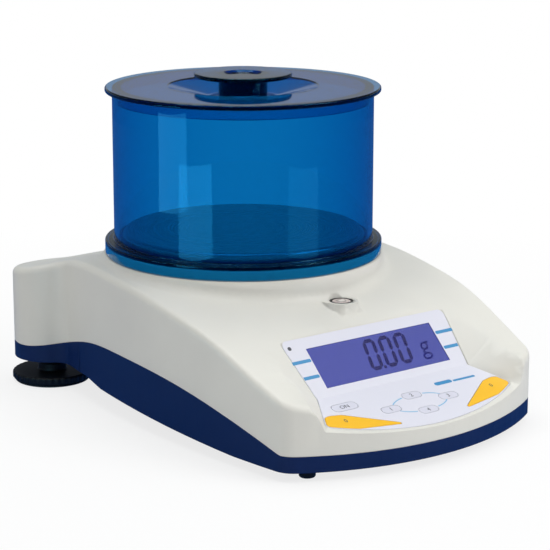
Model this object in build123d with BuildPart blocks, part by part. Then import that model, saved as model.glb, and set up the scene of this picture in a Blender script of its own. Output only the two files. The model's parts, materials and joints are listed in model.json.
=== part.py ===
"""Portable precision balance with a round draught shield.

Origin: middle of the footprint at bench level.  X to the balance's right, Y to its rear, Z up.
Millimetres throughout.
"""
from build123d import *
import math
import os

os.makedirs("parts", exist_ok=True)

# ---------------------------------------------------------------- overall
LENGTH = 245.0                 # front of the housing to the rear of the levelling feet
WALL = 2.5                     # housing wall
RUN = 0.3                      # gap left round a piece that moves
SEAT = 0.35                    # gap under a piece that sinks under load
FIT = 0.05                     # radial gap of a shaft in its bore
FRONT_Y = -LENGTH / 2
REAR_Y = LENGTH / 2

# ---------------------------------------------------------------- housing outline in plan
FRONT_HALF = 75.5              # half width at the front corners
FRONT_SIDE = 22.3              # front corners lie this far behind the front face
BARREL_HALF = 81.0             # half width of the barrel sides
BARREL_SIDE = 111.0            # widest point behind the front face
TAIL_HALF = 74.0               # half width where the sides meet the ears
TAIL_SIDE = LENGTH - 58.0
CORNER_RADIUS = 11.0
EAR_RADIUS = 18.8              # rear ears, over the levelling feet
EAR_X = TAIL_HALF - 8.2
EAR_BLEND = 9.0
TOP_FILLET = 3.5
REAR_WALL = 10.0               # rear wall stands this far behind the feet's axes

# ---------------------------------------------------------------- levelling feet
FOOT_RADIUS = 20.2
FOOT_HEIGHT = 3.4
SOLE_HEIGHT = 1.6
SOLE_INSET = 1.2
STUD_RADIUS = 4.0
STUD_TOP = 33.0
INSERT_RADIUS = 6.0
INSERT_LENGTH = 12.0
FOOT_LIFT = 4.0                # how far a foot can be screwed in from here
NECK_RADIUS = 7.0
KNOB_EDGE = 1.0
SOLE_PIN = 2.5
SOLE_PIN_LENGTH = 2.0
FOOT_Y = REAR_Y - FOOT_RADIUS
FRONT_FOOT_RADIUS = 3.8
FRONT_FOOT_X = FRONT_HALF - 14.0
FRONT_FOOT_SIDE = 23.5

# ---------------------------------------------------------------- weighing chamber
SHIELD_RADIUS = 64.0           # outside of the cylinder
SHIELD_WALL = 2.0
SKIRT_RADIUS = SHIELD_RADIUS + 4.5
LEVEL_SIDE = 73.6              # level axis behind the front face
SHIELD_SIDE = LEVEL_SIDE + 6.9 + SKIRT_RADIUS
SKIRT_WALL = 1.4
SKIRT_BOTTOM = 72.0
COLLAR_TOP = 76.6              # white collar that the skirt drops over
COLLAR_WALL = 3.0
WEB = 2.0                      # shield flange that rests on the collar
BOSS_TOP = 71.6
BOSS_MARGIN = 0.6              # boss stands this far outside the skirt
BOSS_BLEND = 6.0               # radius between the boss and the top of the housing
LID_SEAT = 151.7               # top rim of the cylinder
LID_PLATE = 2.3
LID_RADIUS = SHIELD_RADIUS + 3.5
LID_LIP = 3.5
LID_LIP_WALL = 1.6
DISH_RADIUS = 37.0
DISH_FLOOR_RADIUS = 17.0
DISH_DEPTH = 5.2
KNOB_RADIUS = 24.0
KNOB_HEIGHT = 6.2              # knob's top above the lid plate
KNOB_THICKNESS = 2.0
KNOB_STEM = 12.0
KNOB_DIMPLE = 9.5
PAN_GAP = 2.0                  # between the pan and the cylinder
PAN_RADIUS = SHIELD_RADIUS - SHIELD_WALL - PAN_GAP
PAN_TOP = 83.0
PAN_SHEET = 1.2
PAN_RIM = 5.0
PAN_SOCKET = 8.0
POST_RADIUS = 5.0
POST_ENGAGE = 5.0
SHIELD_Y = FRONT_Y + SHIELD_SIDE

# ---------------------------------------------------------------- display panel
FOLD_SIDE = 35.3               # fold between display slope and keypad slope
FOLD_Z = 29.6
DISPLAY_TILT = 44.3            # degrees above horizontal
KEYPAD_TILT = 18.0
OVERLAY = 0.8                  # printed membrane
LABEL_TOP_SIDE = 58.0
LABEL_TOP_HALF = 49.8
LABEL_FOLD_HALF = 46.0
LABEL_FRONT_HALF = 56.6
LABEL_FRONT_SIDE = 16.5
LABEL_MARGIN = 2.2             # between the membrane and the front face
LABEL_GAP = 0.4
LABEL_CORNER = 2.5
WINDOW_HALF = 37.8
WINDOW_TOP_SIDE = 53.8
WINDOW_BOTTOM_SIDE = 38.4
KEY_GAP = 0.25
KEY_TRAVEL = 0.4
KEY_PLUNGER = 1.4
KEY_REST_GAP = 0.1             # between a resting plunger and its switch dome
PLUNGER_INSET = 0.9
DOME = 0.6
KEYPAD_BOARD_INSET = 1.6
KEYPAD_BOARD_SIDE = 31.0       # rear edge of the keypad board behind the front face
KEYPAD_POST_X = 27.5
KEYPAD_POST_SIDE = 20.5
TARE_TIP_RADIUS = 0.6
RING_SIDE = 17.8               # middle of the key ring behind the front face
RING_HALF_X = 17.5
RING_HALF_Y = 6.2
RING_KEY = (10.5, 4.6)
OVAL_SIDE = 26.6
OVAL_X = -37.5
OVAL_KEY = (14.0, 5.2)
TARE_X = 49.8                  # outer round of a corner key
TARE_SIDE = 17.4
TARE_RADIUS = 5.8
TARE_INNER_X = 45.5            # its inner round
TARE_INNER_SIDE = 16.8
TARE_INNER_RADIUS = 5.6
TARE_PLUNGER = 3.0
KEY_EDGE = 0.6                 # corner keys stay this far inside the membrane
TARE_TIP_X = 21.0
TARE_TIP_SIDE = 7.8
FOLD_Y = FRONT_Y + FOLD_SIDE

LEVEL_RADIUS = 5.6
LEVEL_DEPTH = 5.0
LEVEL_SKIN = 1.0
NOSE_RADIUS = 8.4
NOSE_TOP = 60.4

# ---------------------------------------------------------------- display stack
LCD_MARGIN = (4.0, 3.0)        # glass beyond the window, each side
LCD_GLASS = 2.8
BACKLIGHT = 3.4
BOARD = 1.6
BOARD_MARGIN = (5.6, 3.5)      # board beyond the glass, each side
POST = 2.6                     # radius of a moulded screw post

# ---------------------------------------------------------------- inside
SCREW_RADIUS = 1.5
HEAD_RADIUS = 3.0
HEAD_HEIGHT = 2.0
PILLAR = 4.0
PILLAR_RISE = 8.0              # housing pillars end this far above the underside
HOUSING_SCREWS = [(FRONT_HALF - 14.5, 33.0), (BARREL_HALF - 14.0, 76.0), (EAR_X - 21.8, LENGTH - 23.0)]
BASE_PLATE = (82.0, 118.0, 3.0)
BASE_PLATE_CORNER = 6.0
BASE_Z = 18.0
PAD_INSET = 7.0
CELL = (24.0, 100.0, 22.0)
CELL_CORNER = 0.9
CELL_BLOCK = (24.0, 28.0, 9.0)
CELL_HOLE = 8.0
CELL_HOLE_PITCH = 20.0
CELL_SCREW_PITCH = 14.0
SPIDER_THICKNESS = 4.0
SPIDER_PAD = 3.0
SPIDER_ARM = 32.0
SPIDER_ARM_WIDTH = 10.0
STOP_RADIUS = 3.0
STOP_SHOULDER = 1.2
THREAD_SHORT = 4.5             # screws that hold a board or the base plate
HUB_CLEARANCE = 3.0            # round the post, through the top of the housing
BATTERY = (20.0, 64.0, 20.0)
BATTERY_X = 21.0 - BARREL_HALF
BATTERY_SIDE = 128.0
COVER_MARGIN = 2.0
COVER_TAB = 6.0
THREAD_DEPTH = 9.0             # screw length that bites in its pillar
FRONT_FOOT_SEAT = 1.2          # how deep a front foot sits in the housing
MAIN_BOARD = (96.0, 40.0)
MAIN_BOARD_SIDE = 61.0
MAIN_BOARD_Z = 14.0
CHIPS = [(-28.0, 4.0, (14.0, 14.0)), (2.0, 6.0, (22.0, 10.0)),
         (30.0, -2.0, (12.0, 18.0)), (-6.0, -11.0, (9.0, 6.0))]
CHIP_HEIGHT = 2.2
PLUG_RADIUS = 9.0
PLUG_FLANGE = 11.0
PLUG_FLANGE_TOP = 14.5
PORT_Z = 40.0
JACK_X = 30.0
JACK_RADIUS = 5.5
JACK_DEPTH = 12.0
JACK_BORE = 3.2
JACK_PIN = 1.0
DATA_X = -12.0
DATA_SHELL = (17.0, 8.5)
DATA_FLANGE = (31.0, 12.5)
DATA_DEPTH = 10.0
DATA_SKIN = 0.8
DATA_SCREW_PITCH = 25.0
DATA_PIN_PITCH = 2.8
DATA_PIN = 0.6
PORT_STEP = 1.0                # how far a port's flange stands proud

# The lines behind the shield's axis stretch with what is left of the length.
TAIL_STRETCH = (LENGTH - SHIELD_SIDE) / 96.0

# Side view of the housing: (distance behind the front face, height, rise of the crown).
TOP_STATIONS = [
    (-8.0, 22.0, 0.4),
    (24.0, 35.9, 0.6),
    (44.0, 44.4, 1.0),
    (59.0, 51.0, 1.6),
    (77.0, 57.3, 2.6),
    (96.0, 61.6, 2.2),
    (120.0, 65.9, 1.4),
    (SHIELD_SIDE + 1.0, 68.6, 1.0),
    (SHIELD_SIDE + 34.0 * TAIL_STRETCH, 69.2, 1.0),
    (SHIELD_SIDE + 55.0 * TAIL_STRETCH, 65.7, 1.2),
    (SHIELD_SIDE + 75.0 * TAIL_STRETCH, 60.6, 1.2),
    (SHIELD_SIDE + 105.0 * TAIL_STRETCH, 54.0, 1.2),
]
SEAM_FRONT = [(-10.0, 11.2), (25.0, 12.1)]
SEAM_ARCH = [(25.0, 12.1), (50.0, 19.9), (94.5, 29.1), (144.0, 32.3), (SHIELD_SIDE + 23.0 * TAIL_STRETCH, 31.4),
             (SHIELD_SIDE + 44.0 * TAIL_STRETCH, 27.0), (SHIELD_SIDE + 58.0 * TAIL_STRETCH, 23.2),
             (SHIELD_SIDE + 80.0 * TAIL_STRETCH, 21.4)]
BOTTOM_LINE = [(-10.0, 3.9), (55.0, 4.8), (104.0, 7.3), (SHIELD_SIDE + 14.0, 10.4), (SHIELD_SIDE + 30.0, 13.2),
               (LENGTH + 15.0, 13.2)]

# Anything drawn past the housing on purpose reaches this far out.
BEYOND = 130.0


def from_front(distance):
    """Y of a place given by its distance behind the front face."""
    return FRONT_Y + distance


def finish(builder, label):
    """Names a finished piece and writes it to its own file."""
    builder.part.label = label
    export_step(builder.part, f"parts/{label}.step")


# ---------------------------------------------------------------- shared outlines
def plan_outline(inset):
    """Housing seen from above: bowed front, barrel sides, two round ears at the rear."""
    with BuildSketch() as plan:
        with BuildLine():
            corner_y = from_front(FRONT_SIDE)
            bow = ThreePointArc((-FRONT_HALF, corner_y), (0, FRONT_Y), (FRONT_HALF, corner_y))
            right = ThreePointArc(bow @ 1, (BARREL_HALF, from_front(BARREL_SIDE)),
                                  (TAIL_HALF, from_front(TAIL_SIDE)))
            tail = Polyline(right @ 1, (EAR_X, FOOT_Y), (EAR_X, FOOT_Y + REAR_WALL),
                            (-EAR_X, FOOT_Y + REAR_WALL), (-EAR_X, FOOT_Y),
                            (-TAIL_HALF, from_front(TAIL_SIDE)))
            ThreePointArc(tail @ 1, (-BARREL_HALF, from_front(BARREL_SIDE)), bow @ 0)
        make_face()
        fillet(plan.vertices().group_by(Axis.Y)[0], CORNER_RADIUS)
        with Locations((EAR_X, FOOT_Y), (-EAR_X, FOOT_Y)):
            Circle(EAR_RADIUS)
        fillet(plan.vertices().filter_by(lambda v: v.Y > from_front(TAIL_SIDE) - EAR_BLEND), EAR_BLEND)
        if inset:
            offset(amount=-inset)
    return plan.sketch


def side_prism(points, upwards):
    """Everything above (or below) a line of straight runs in the side view."""
    reach = BEYOND if upwards else -BEYOND
    line = [(from_front(d), z) for d, z in points]
    with BuildPart() as prism:
        with BuildSketch(Plane.YZ):
            with BuildLine():
                Polyline(*line, (line[-1][0], reach), (line[0][0], reach), close=True)
            make_face()
        extrude(amount=BEYOND, both=True)
    return prism.part


def under_top(drop):
    """Everything below the crowned top surface, lowered by drop."""
    reach = BARREL_HALF + EAR_RADIUS
    fall = (reach / BARREL_HALF) ** 2 - 1
    with BuildPart() as body:
        for distance, height, crown in TOP_STATIONS:
            with BuildSketch(Plane.XZ.offset(-from_front(distance))):
                with BuildLine():
                    edge_z = height - drop - crown * fall
                    top = ThreePointArc((-reach, edge_z), (0, height - drop + crown), (reach, edge_z))
                    Polyline(top @ 1, (reach, -WALL), (-reach, -WALL), top @ 0)
                make_face()
        loft()
    return body.part


def panel_z(distance, tilt):
    """Height of a panel slope, which turns about the fold."""
    return FOLD_Z + (distance - FOLD_SIDE) * math.tan(math.radians(tilt))


# Panel recess: (distance behind the front face, half width of its floor, lean of its walls).
DISPLAY_RECESS = [(66.0, 51.7, 3.2), (54.0, 49.8, 2.7), (44.0, 48.2, 2.0), (FOLD_SIDE, 46.8, 1.35)]
KEYPAD_RECESS = [(FOLD_SIDE, 46.8, 1.35), (24.0, 52.6, 1.05), (13.0, 59.8, 0.62), (-8.0, 66.0, 0.4)]
RECESS_RISE = 18.0
PANEL_ENDS = (-8.0, 70.0)      # the panel's slopes are drawn this far, from the front face


def panel_recess(clear):
    """Space above the panel floor, between the two cheeks; clear makes it that much larger."""
    with BuildPart() as recess:
        for stations, tilt in ((DISPLAY_RECESS, DISPLAY_TILT), (KEYPAD_RECESS, KEYPAD_TILT)):
            for distance, floor_half, lean in stations:
                floor_z = panel_z(distance, tilt) - clear / math.cos(math.radians(tilt))
                low_half = floor_half + clear
                high_half = low_half + lean * RECESS_RISE
                with BuildSketch(Plane.XZ.offset(-from_front(distance))):
                    with BuildLine():
                        Polyline((-low_half, floor_z), (low_half, floor_z),
                                 (high_half, floor_z + RECESS_RISE), (high_half, BEYOND),
                                 (-high_half, BEYOND), (-high_half, floor_z + RECESS_RISE), close=True)
                    make_face()
            loft()
    return recess.part


def panel_line(depth):
    """Side view of the panel surface, lowered by depth square to itself, mitred at the fold."""
    front, rear = PANEL_ENDS
    middle = math.radians((DISPLAY_TILT + KEYPAD_TILT) / 2)
    drop = depth / math.cos(math.radians((DISPLAY_TILT - KEYPAD_TILT) / 2))
    return [
        (from_front(front), panel_z(front, KEYPAD_TILT) - depth / math.cos(math.radians(KEYPAD_TILT))),
        (FOLD_Y + drop * math.sin(middle), FOLD_Z - drop * math.cos(middle)),
        (from_front(rear), panel_z(rear, DISPLAY_TILT) - depth / math.cos(math.radians(DISPLAY_TILT))),
    ]


def panel_layer(top, bottom):
    """A folded sheet between two depths below the panel surface, as wide as the housing."""
    with BuildPart() as layer:
        with BuildSketch(Plane.YZ):
            with BuildLine():
                Polyline(*panel_line(top), *reversed(panel_line(bottom)), close=True)
            make_face()
        extrude(amount=BARREL_HALF, both=True)
    return layer.part


def label_plan(grow):
    """Outline of the printed membrane, seen from above."""
    with BuildSketch() as plan:
        with BuildLine():
            left = Polyline((-LABEL_FRONT_HALF, from_front(LABEL_FRONT_SIDE)), (-LABEL_FOLD_HALF, FOLD_Y),
                            (-LABEL_TOP_HALF, from_front(LABEL_TOP_SIDE)),
                            (LABEL_TOP_HALF, from_front(LABEL_TOP_SIDE)), (LABEL_FOLD_HALF, FOLD_Y),
                            (LABEL_FRONT_HALF, from_front(LABEL_FRONT_SIDE)))
            ThreePointArc(left @ 1, (0, from_front(LABEL_MARGIN)), left @ 0)
        make_face()
        fillet(plan.vertices().filter_by(lambda v: abs(v.Y - FOLD_Y) > 1), LABEL_CORNER)
        if grow:
            offset(amount=grow)
    return plan.sketch


def panel_plane(tilt):
    """Work plane lying on a panel slope: origin on the fold, local Y up the slope."""
    lean = math.radians(tilt)
    return Plane(origin=(0, FOLD_Y, FOLD_Z), x_dir=(1, 0, 0), z_dir=(0, -math.sin(lean), math.cos(lean)))


def up_slope(distance, tilt):
    """Distance behind the front face, turned into local Y on a panel slope."""
    return (distance - FOLD_SIDE) / math.cos(math.radians(tilt))


def seam_side(upwards):
    """Everything above (or below) the seam: level at the front, arched over the sides."""
    reach = BEYOND if upwards else -BEYOND
    with BuildPart() as prism:
        with BuildSketch(Plane.YZ):
            with BuildLine():
                front = [(from_front(d), z) for d, z in SEAM_FRONT]
                arch = [(from_front(d), z) for d, z in SEAM_ARCH]
                rear = (from_front(LENGTH) + WALL, arch[-1][1])
                Line(*front)
                Spline(*arch)
                Line(arch[-1], rear)
                Polyline(rear, (rear[0], reach), (front[0][0], reach), front[0])
            make_face()
        extrude(amount=BEYOND, both=True)
    return prism.part


def underside_z(distance):
    """Height of the housing's underside."""
    for (d0, z0), (d1, z1) in zip(BOTTOM_LINE, BOTTOM_LINE[1:]):
        if distance <= d1:
            return z0 + (z1 - z0) * (distance - d0) / (d1 - d0)
    return BOTTOM_LINE[-1][1]


display_plane = panel_plane(DISPLAY_TILT)
keypad_plane = panel_plane(KEYPAD_TILT)
window_low = up_slope(WINDOW_BOTTOM_SIDE, DISPLAY_TILT)
window_high = up_slope(WINDOW_TOP_SIDE, DISPLAY_TILT)
window_size = (2 * WINDOW_HALF, window_high - window_low)
window_middle = (0, (window_low + window_high) / 2)
floor_depth = OVERLAY + WALL
glass_size = [side + 2 * margin for side, margin in zip(window_size, LCD_MARGIN)]
board_size = [side + 2 * margin for side, margin in zip(glass_size, BOARD_MARGIN)]
glass_depth = OVERLAY + FIT    # the glass stands in its opening, right under the membrane
backlight_depth = glass_depth + LCD_GLASS
display_board_depth = backlight_depth + BACKLIGHT
screw_spots = [(side * x, from_front(d)) for x, d in HOUSING_SCREWS for side in (-1, 1)]
screw_bases = [underside_z(d) for x, d in HOUSING_SCREWS for side in (-1, 1)]
foot_spots = [(-EAR_X, FOOT_Y), (EAR_X, FOOT_Y)]
rear_wall_y = FOOT_Y + REAR_WALL
keypad_posts = [(side * KEYPAD_POST_X, up_slope(KEYPAD_POST_SIDE, KEYPAD_TILT)) for side in (-1, 1)]


# ================================================================ keys
def oval(size):
    """Key shape with fully rounded ends."""
    SlotOverall(size[0], size[1])


def membrane_prism(grow):
    """Upright prism over the membrane's outline."""
    with BuildPart() as prism:
        add(label_plan(grow))
        extrude(amount=BEYOND)
    return prism.part


def tare_column(side, grow, low, high):
    """Corner key between two heights over the keypad: round outside, its tail along the front edge."""
    with BuildPart() as column:
        with BuildSketch(keypad_plane.offset(low)):
            with Locations((side * TARE_X, up_slope(TARE_SIDE, KEYPAD_TILT))):
                Circle(TARE_RADIUS + grow)
            with Locations((side * TARE_INNER_X, up_slope(TARE_INNER_SIDE, KEYPAD_TILT))):
                Circle(TARE_INNER_RADIUS + grow)
            with Locations((side * TARE_TIP_X, up_slope(TARE_TIP_SIDE, KEYPAD_TILT))):
                Circle(TARE_TIP_RADIUS + grow)
            make_hull()
        extrude(amount=high - low)
        add(membrane_prism(grow - KEY_EDGE), mode=Mode.INTERSECT)
    return column.part


ring_middle = up_slope(RING_SIDE, KEYPAD_TILT)
OVAL_KEYS = {
    "power_key": ((OVAL_X, up_slope(OVAL_SIDE, KEYPAD_TILT)), OVAL_KEY),
    "ring_rear_key": ((0, ring_middle + RING_HALF_Y), RING_KEY),
    "ring_front_key": ((0, ring_middle - RING_HALF_Y), RING_KEY),
    "ring_left_key": ((-RING_HALF_X, ring_middle), RING_KEY),
    "ring_right_key": ((RING_HALF_X, ring_middle), RING_KEY),
}
TARE_KEYS = {"left_tare_key": -1, "right_tare_key": 1}


def key_wells(low, high):
    """Openings round all seven keys, between two heights over the keypad."""
    with BuildPart() as wells:
        with BuildSketch(keypad_plane.offset(low)):
            for place, size in OVAL_KEYS.values():
                with Locations(place):
                    oval((size[0] + 2 * KEY_GAP, size[1] + 2 * KEY_GAP))
        extrude(amount=high - low)
        for side in TARE_KEYS.values():
            add(tare_column(side, KEY_GAP, low, high))
    return wells.part


plunger_length = WALL + KEY_PLUNGER
board_depth = floor_depth + KEY_PLUNGER + KEY_TRAVEL + KEY_REST_GAP


def finish_key(cap, label, plunger_place, plunger_radius):
    """Puts the plunger under a key cap that is flush with the membrane."""
    with BuildPart() as key:
        add(cap)
        with BuildSketch(keypad_plane.offset(-OVERLAY)):
            with Locations(plunger_place):
                Circle(plunger_radius)
        extrude(amount=-plunger_length)
    finish(key, label)


for label, (place, size) in OVAL_KEYS.items():
    with BuildPart() as cap:
        with BuildSketch(keypad_plane):
            with Locations(place):
                oval(size)
        extrude(amount=-OVERLAY)
    finish_key(cap.part, label, place, size[1] / 2 - PLUNGER_INSET)
for label, side in TARE_KEYS.items():
    finish_key(tare_column(side, 0, -OVERLAY, 0), label, (side * TARE_X, up_slope(TARE_SIDE, KEYPAD_TILT)),
               TARE_PLUNGER)

# ================================================================ printed membrane and its window
with BuildPart() as panel_overlay:
    add(label_plan(0))
    extrude(amount=BEYOND)
    add(panel_layer(0, OVERLAY), mode=Mode.INTERSECT)
    with BuildSketch(display_plane.offset(-2 * OVERLAY)):
        with Locations(window_middle):
            Rectangle(*window_size)
    extrude(amount=3 * OVERLAY, mode=Mode.SUBTRACT)
    add(key_wells(-2 * OVERLAY, OVERLAY), mode=Mode.SUBTRACT)
finish(panel_overlay, "panel_overlay")

with BuildPart() as display_window:
    with BuildSketch(display_plane):
        with Locations(window_middle):
            Rectangle(window_size[0] - 2 * FIT, window_size[1] - 2 * FIT)
    extrude(amount=-OVERLAY)
finish(display_window, "display_window")


# ================================================================ display module
def display_slab(label, depth, size, thickness):
    """A flat plate of the display module, square to the display slope."""
    with BuildPart() as slab:
        with BuildSketch(display_plane.offset(-depth)):
            with Locations(window_middle):
                Rectangle(*size)
        extrude(amount=-thickness)
    finish(slab, label)


display_slab("lcd_glass", glass_depth, glass_size, LCD_GLASS)
display_slab("lcd_backlight", backlight_depth, glass_size, BACKLIGHT)
display_post_pitch = (board_size[0] - 2 * POST, board_size[1] - 2 * POST)

with BuildPart() as display_board:
    with BuildSketch(display_plane.offset(-display_board_depth)):
        with Locations(window_middle):
            Rectangle(*board_size)
            with GridLocations(*display_post_pitch, 2, 2):
                Circle(SCREW_RADIUS + FIT, mode=Mode.SUBTRACT)
    extrude(amount=-BOARD)
finish(display_board, "display_board")

# ================================================================ keypad board with its switch domes
with BuildPart() as keypad_board:
    add(label_plan(-KEYPAD_BOARD_INSET))
    extrude(amount=BEYOND)
    add(panel_layer(board_depth + DOME, board_depth + DOME + BOARD), mode=Mode.INTERSECT)
    split(bisect_by=Plane.XZ.offset(-from_front(KEYPAD_BOARD_SIDE)), keep=Keep.TOP)
    with BuildSketch(keypad_plane.offset(-board_depth)):
        for place, size in OVAL_KEYS.values():
            with Locations(place):
                Circle(size[1] / 2 - PLUNGER_INSET)
        for side in TARE_KEYS.values():
            with Locations((side * TARE_X, up_slope(TARE_SIDE, KEYPAD_TILT))):
                Circle(TARE_PLUNGER)
    extrude(amount=-DOME)
    with BuildSketch(keypad_plane.offset(-board_depth)):
        with Locations(*keypad_posts):
            Circle(SCREW_RADIUS + FIT)
    extrude(amount=-2 * DOME - BOARD, mode=Mode.SUBTRACT)
finish(keypad_board, "keypad_board")

# ================================================================ upper housing
boss_radius = SKIRT_RADIUS + BOSS_MARGIN
collar_radius = SKIRT_RADIUS - SKIRT_WALL - RUN
hub_radius = POST_RADIUS + HUB_CLEARANCE
level_y = from_front(LEVEL_SIDE)


def around_boss(edge):
    """True for the line in which the boss rises from the top of the housing."""
    places = [edge @ share for share in (0, 0.3, 0.6)]
    off_wall = max(abs(math.hypot(p.X, p.Y - SHIELD_Y) - boss_radius) for p in places)
    return off_wall < FIT and max(p.Z for p in places) < BOSS_TOP - FIT


with BuildPart() as roof_room:
    # The space inside the upper housing: walls of even thickness, also round the panel.
    add(plan_outline(WALL))
    extrude(amount=BEYOND)
    add(under_top(WALL), mode=Mode.INTERSECT)
    with BuildSketch(Plane.XY):
        with Locations((0, SHIELD_Y)):
            Circle(boss_radius - WALL)
    extrude(amount=BOSS_TOP - WALL)
    add(panel_recess(floor_depth), mode=Mode.SUBTRACT)
    with BuildSketch(Plane.XY.offset(NOSE_TOP - LEVEL_DEPTH - LEVEL_SKIN)):
        with Locations((0, level_y)):
            Circle(LEVEL_RADIUS + LEVEL_SKIN)
    extrude(amount=BEYOND, mode=Mode.SUBTRACT)
    with BuildSketch(Plane.XY):
        for (x, y) in screw_spots:
            with Locations((x, y)):
                Circle(PILLAR)
    extrude(amount=BEYOND, mode=Mode.SUBTRACT)

with BuildPart() as membrane_seat:
    add(membrane_prism(LABEL_GAP))
    add(panel_layer(-WALL, OVERLAY), mode=Mode.INTERSECT)

with BuildPart() as upper_housing:
    add(plan_outline(0))
    extrude(amount=BEYOND)
    add(under_top(0), mode=Mode.INTERSECT)
    fillet(upper_housing.edges().filter_by(lambda e: e.center().Z > SEAM_FRONT[0][1]
                                           and abs((e % 0.5).Z) < 0.8), TOP_FILLET)
    with BuildSketch(Plane.XY.offset(NOSE_TOP - 2 * NOSE_RADIUS)):
        with Locations((0, SHIELD_Y)):
            Circle(boss_radius)
    extrude(amount=BOSS_TOP - NOSE_TOP + 2 * NOSE_RADIUS)
    fillet(upper_housing.edges().filter_by(around_boss), BOSS_BLEND)
    with BuildSketch(Plane.XY.offset(NOSE_TOP - 2 * NOSE_RADIUS)):
        with Locations((0, level_y)):
            Circle(NOSE_RADIUS)
        with Locations((0, (level_y + SHIELD_Y) / 2)):
            Rectangle(2 * NOSE_RADIUS, SHIELD_Y - level_y)
    extrude(amount=2 * NOSE_RADIUS)
    with BuildSketch(Plane.XY.offset(BOSS_TOP)):
        with Locations((0, SHIELD_Y)):
            Circle(collar_radius)
            Circle(collar_radius - COLLAR_WALL, mode=Mode.SUBTRACT)
    extrude(amount=COLLAR_TOP - BOSS_TOP)
    add(panel_recess(0), mode=Mode.SUBTRACT)
    add(roof_room.part, mode=Mode.SUBTRACT)
    # Screw posts for the display board and the keypad board.
    with BuildSketch(display_plane.offset(-display_board_depth)):
        with Locations(window_middle):
            with GridLocations(*display_post_pitch, 2, 2):
                Circle(POST)
    extrude(amount=display_board_depth - floor_depth + FIT)
    with BuildSketch(keypad_plane.offset(-board_depth - DOME)):
        with Locations(*keypad_posts):
            Circle(POST)
    extrude(amount=board_depth + DOME - floor_depth + FIT)
    add(seam_side(upwards=True), mode=Mode.INTERSECT)
    # Pillars stop above the lower housing's pads.
    for (x, y), base in zip(screw_spots, screw_bases):
        with BuildSketch(Plane.XY):
            with Locations((x, y)):
                Circle(PILLAR + WALL)
        extrude(amount=base + PILLAR_RISE, mode=Mode.SUBTRACT)
        with BuildSketch(Plane.XY):
            with Locations((x, y)):
                Circle(SCREW_RADIUS + FIT)
        extrude(amount=base + PILLAR_RISE + THREAD_DEPTH, mode=Mode.SUBTRACT)
    # Seat of the membrane, window opening and key wells.
    add(membrane_seat.part, mode=Mode.SUBTRACT)
    with BuildSketch(display_plane.offset(-floor_depth - WALL)):
        with Locations(window_middle):
            Rectangle(glass_size[0] + 2 * RUN, glass_size[1] + 2 * RUN)
    extrude(amount=2 * floor_depth, mode=Mode.SUBTRACT)
    add(key_wells(-floor_depth - WALL, OVERLAY), mode=Mode.SUBTRACT)
    with BuildSketch(display_plane.offset(-display_board_depth)):
        with Locations(window_middle):
            with GridLocations(*display_post_pitch, 2, 2):
                Circle(SCREW_RADIUS)
    extrude(amount=THREAD_SHORT + RUN, mode=Mode.SUBTRACT)
    with BuildSketch(keypad_plane.offset(-board_depth - DOME)):
        with Locations(*keypad_posts):
            Circle(SCREW_RADIUS)
    extrude(amount=board_depth + DOME - floor_depth, mode=Mode.SUBTRACT)
    # Passage of the pan support's post, pocket of the level, cut-outs for the ports.
    with BuildSketch(Plane.XY):
        with Locations((0, SHIELD_Y)):
            Circle(hub_radius)
    extrude(amount=BEYOND, mode=Mode.SUBTRACT)
    with BuildSketch(Plane.XY.offset(NOSE_TOP - LEVEL_DEPTH)):
        with Locations((0, level_y)):
            Circle(LEVEL_RADIUS + FIT)
    extrude(amount=LEVEL_DEPTH + NOSE_RADIUS, mode=Mode.SUBTRACT)
    with BuildSketch(Plane.XZ.offset(-rear_wall_y + 2 * WALL)):
        with Locations((JACK_X, PORT_Z)):
            Circle(JACK_RADIUS + FIT)
        with Locations((DATA_X, PORT_Z)):
            Rectangle(DATA_SHELL[0] + 2 * FIT, DATA_SHELL[1] + 2 * FIT)
    extrude(amount=-3 * WALL, mode=Mode.SUBTRACT)
finish(upper_housing, "upper_housing")

# ================================================================ lower housing
plate_y = SHIELD_Y
plate_pads = [(sx * (BASE_PLATE[0] / 2 - PAD_INSET), plate_y + sy * (BASE_PLATE[1] / 2 - PAD_INSET))
              for sx in (-1, 1) for sy in (-1, 1)]
main_board_y = from_front(MAIN_BOARD_SIDE)
board_pads = [(sx * (MAIN_BOARD[0] / 2 - PAD_INSET), main_board_y + sy * (MAIN_BOARD[1] / 2 - PAD_INSET))
              for sx in (-1, 1) for sy in (-1, 1)]
battery_y = from_front(BATTERY_SIDE)
cover_size = (BATTERY[0] + 2 * COVER_MARGIN, BATTERY[1] + 2 * COVER_MARGIN)
cover_tab = (COVER_TAB + WALL, COVER_TAB + WALL)
cover_tab_reach = (cover_size[1] + cover_tab[1]) / 2 - FIT
cover_screws = [(BATTERY_X, battery_y + side * cover_tab_reach) for side in (-1, 1)]
cover_bases = [underside_z(BATTERY_SIDE + side * cover_tab_reach) for side in (-1, 1)]
ear_bottom = underside_z(LENGTH)
front_feet = [(side * FRONT_FOOT_X, from_front(FRONT_FOOT_SIDE)) for side in (-1, 1)]
front_foot_top = underside_z(FRONT_FOOT_SIDE) + FRONT_FOOT_SEAT


def raised(points, rise):
    """The same line, higher by rise."""
    return [(d, z + rise) for d, z in points]


def discs(places, radius):
    """Circles of one radius at several places."""
    with Locations(*places):
        Circle(radius)


def rectangles(places, size, shrink):
    """Rectangles of one size at several places."""
    with Locations(*places):
        Rectangle(size[0] - 2 * shrink, size[1] - 2 * shrink)


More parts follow.
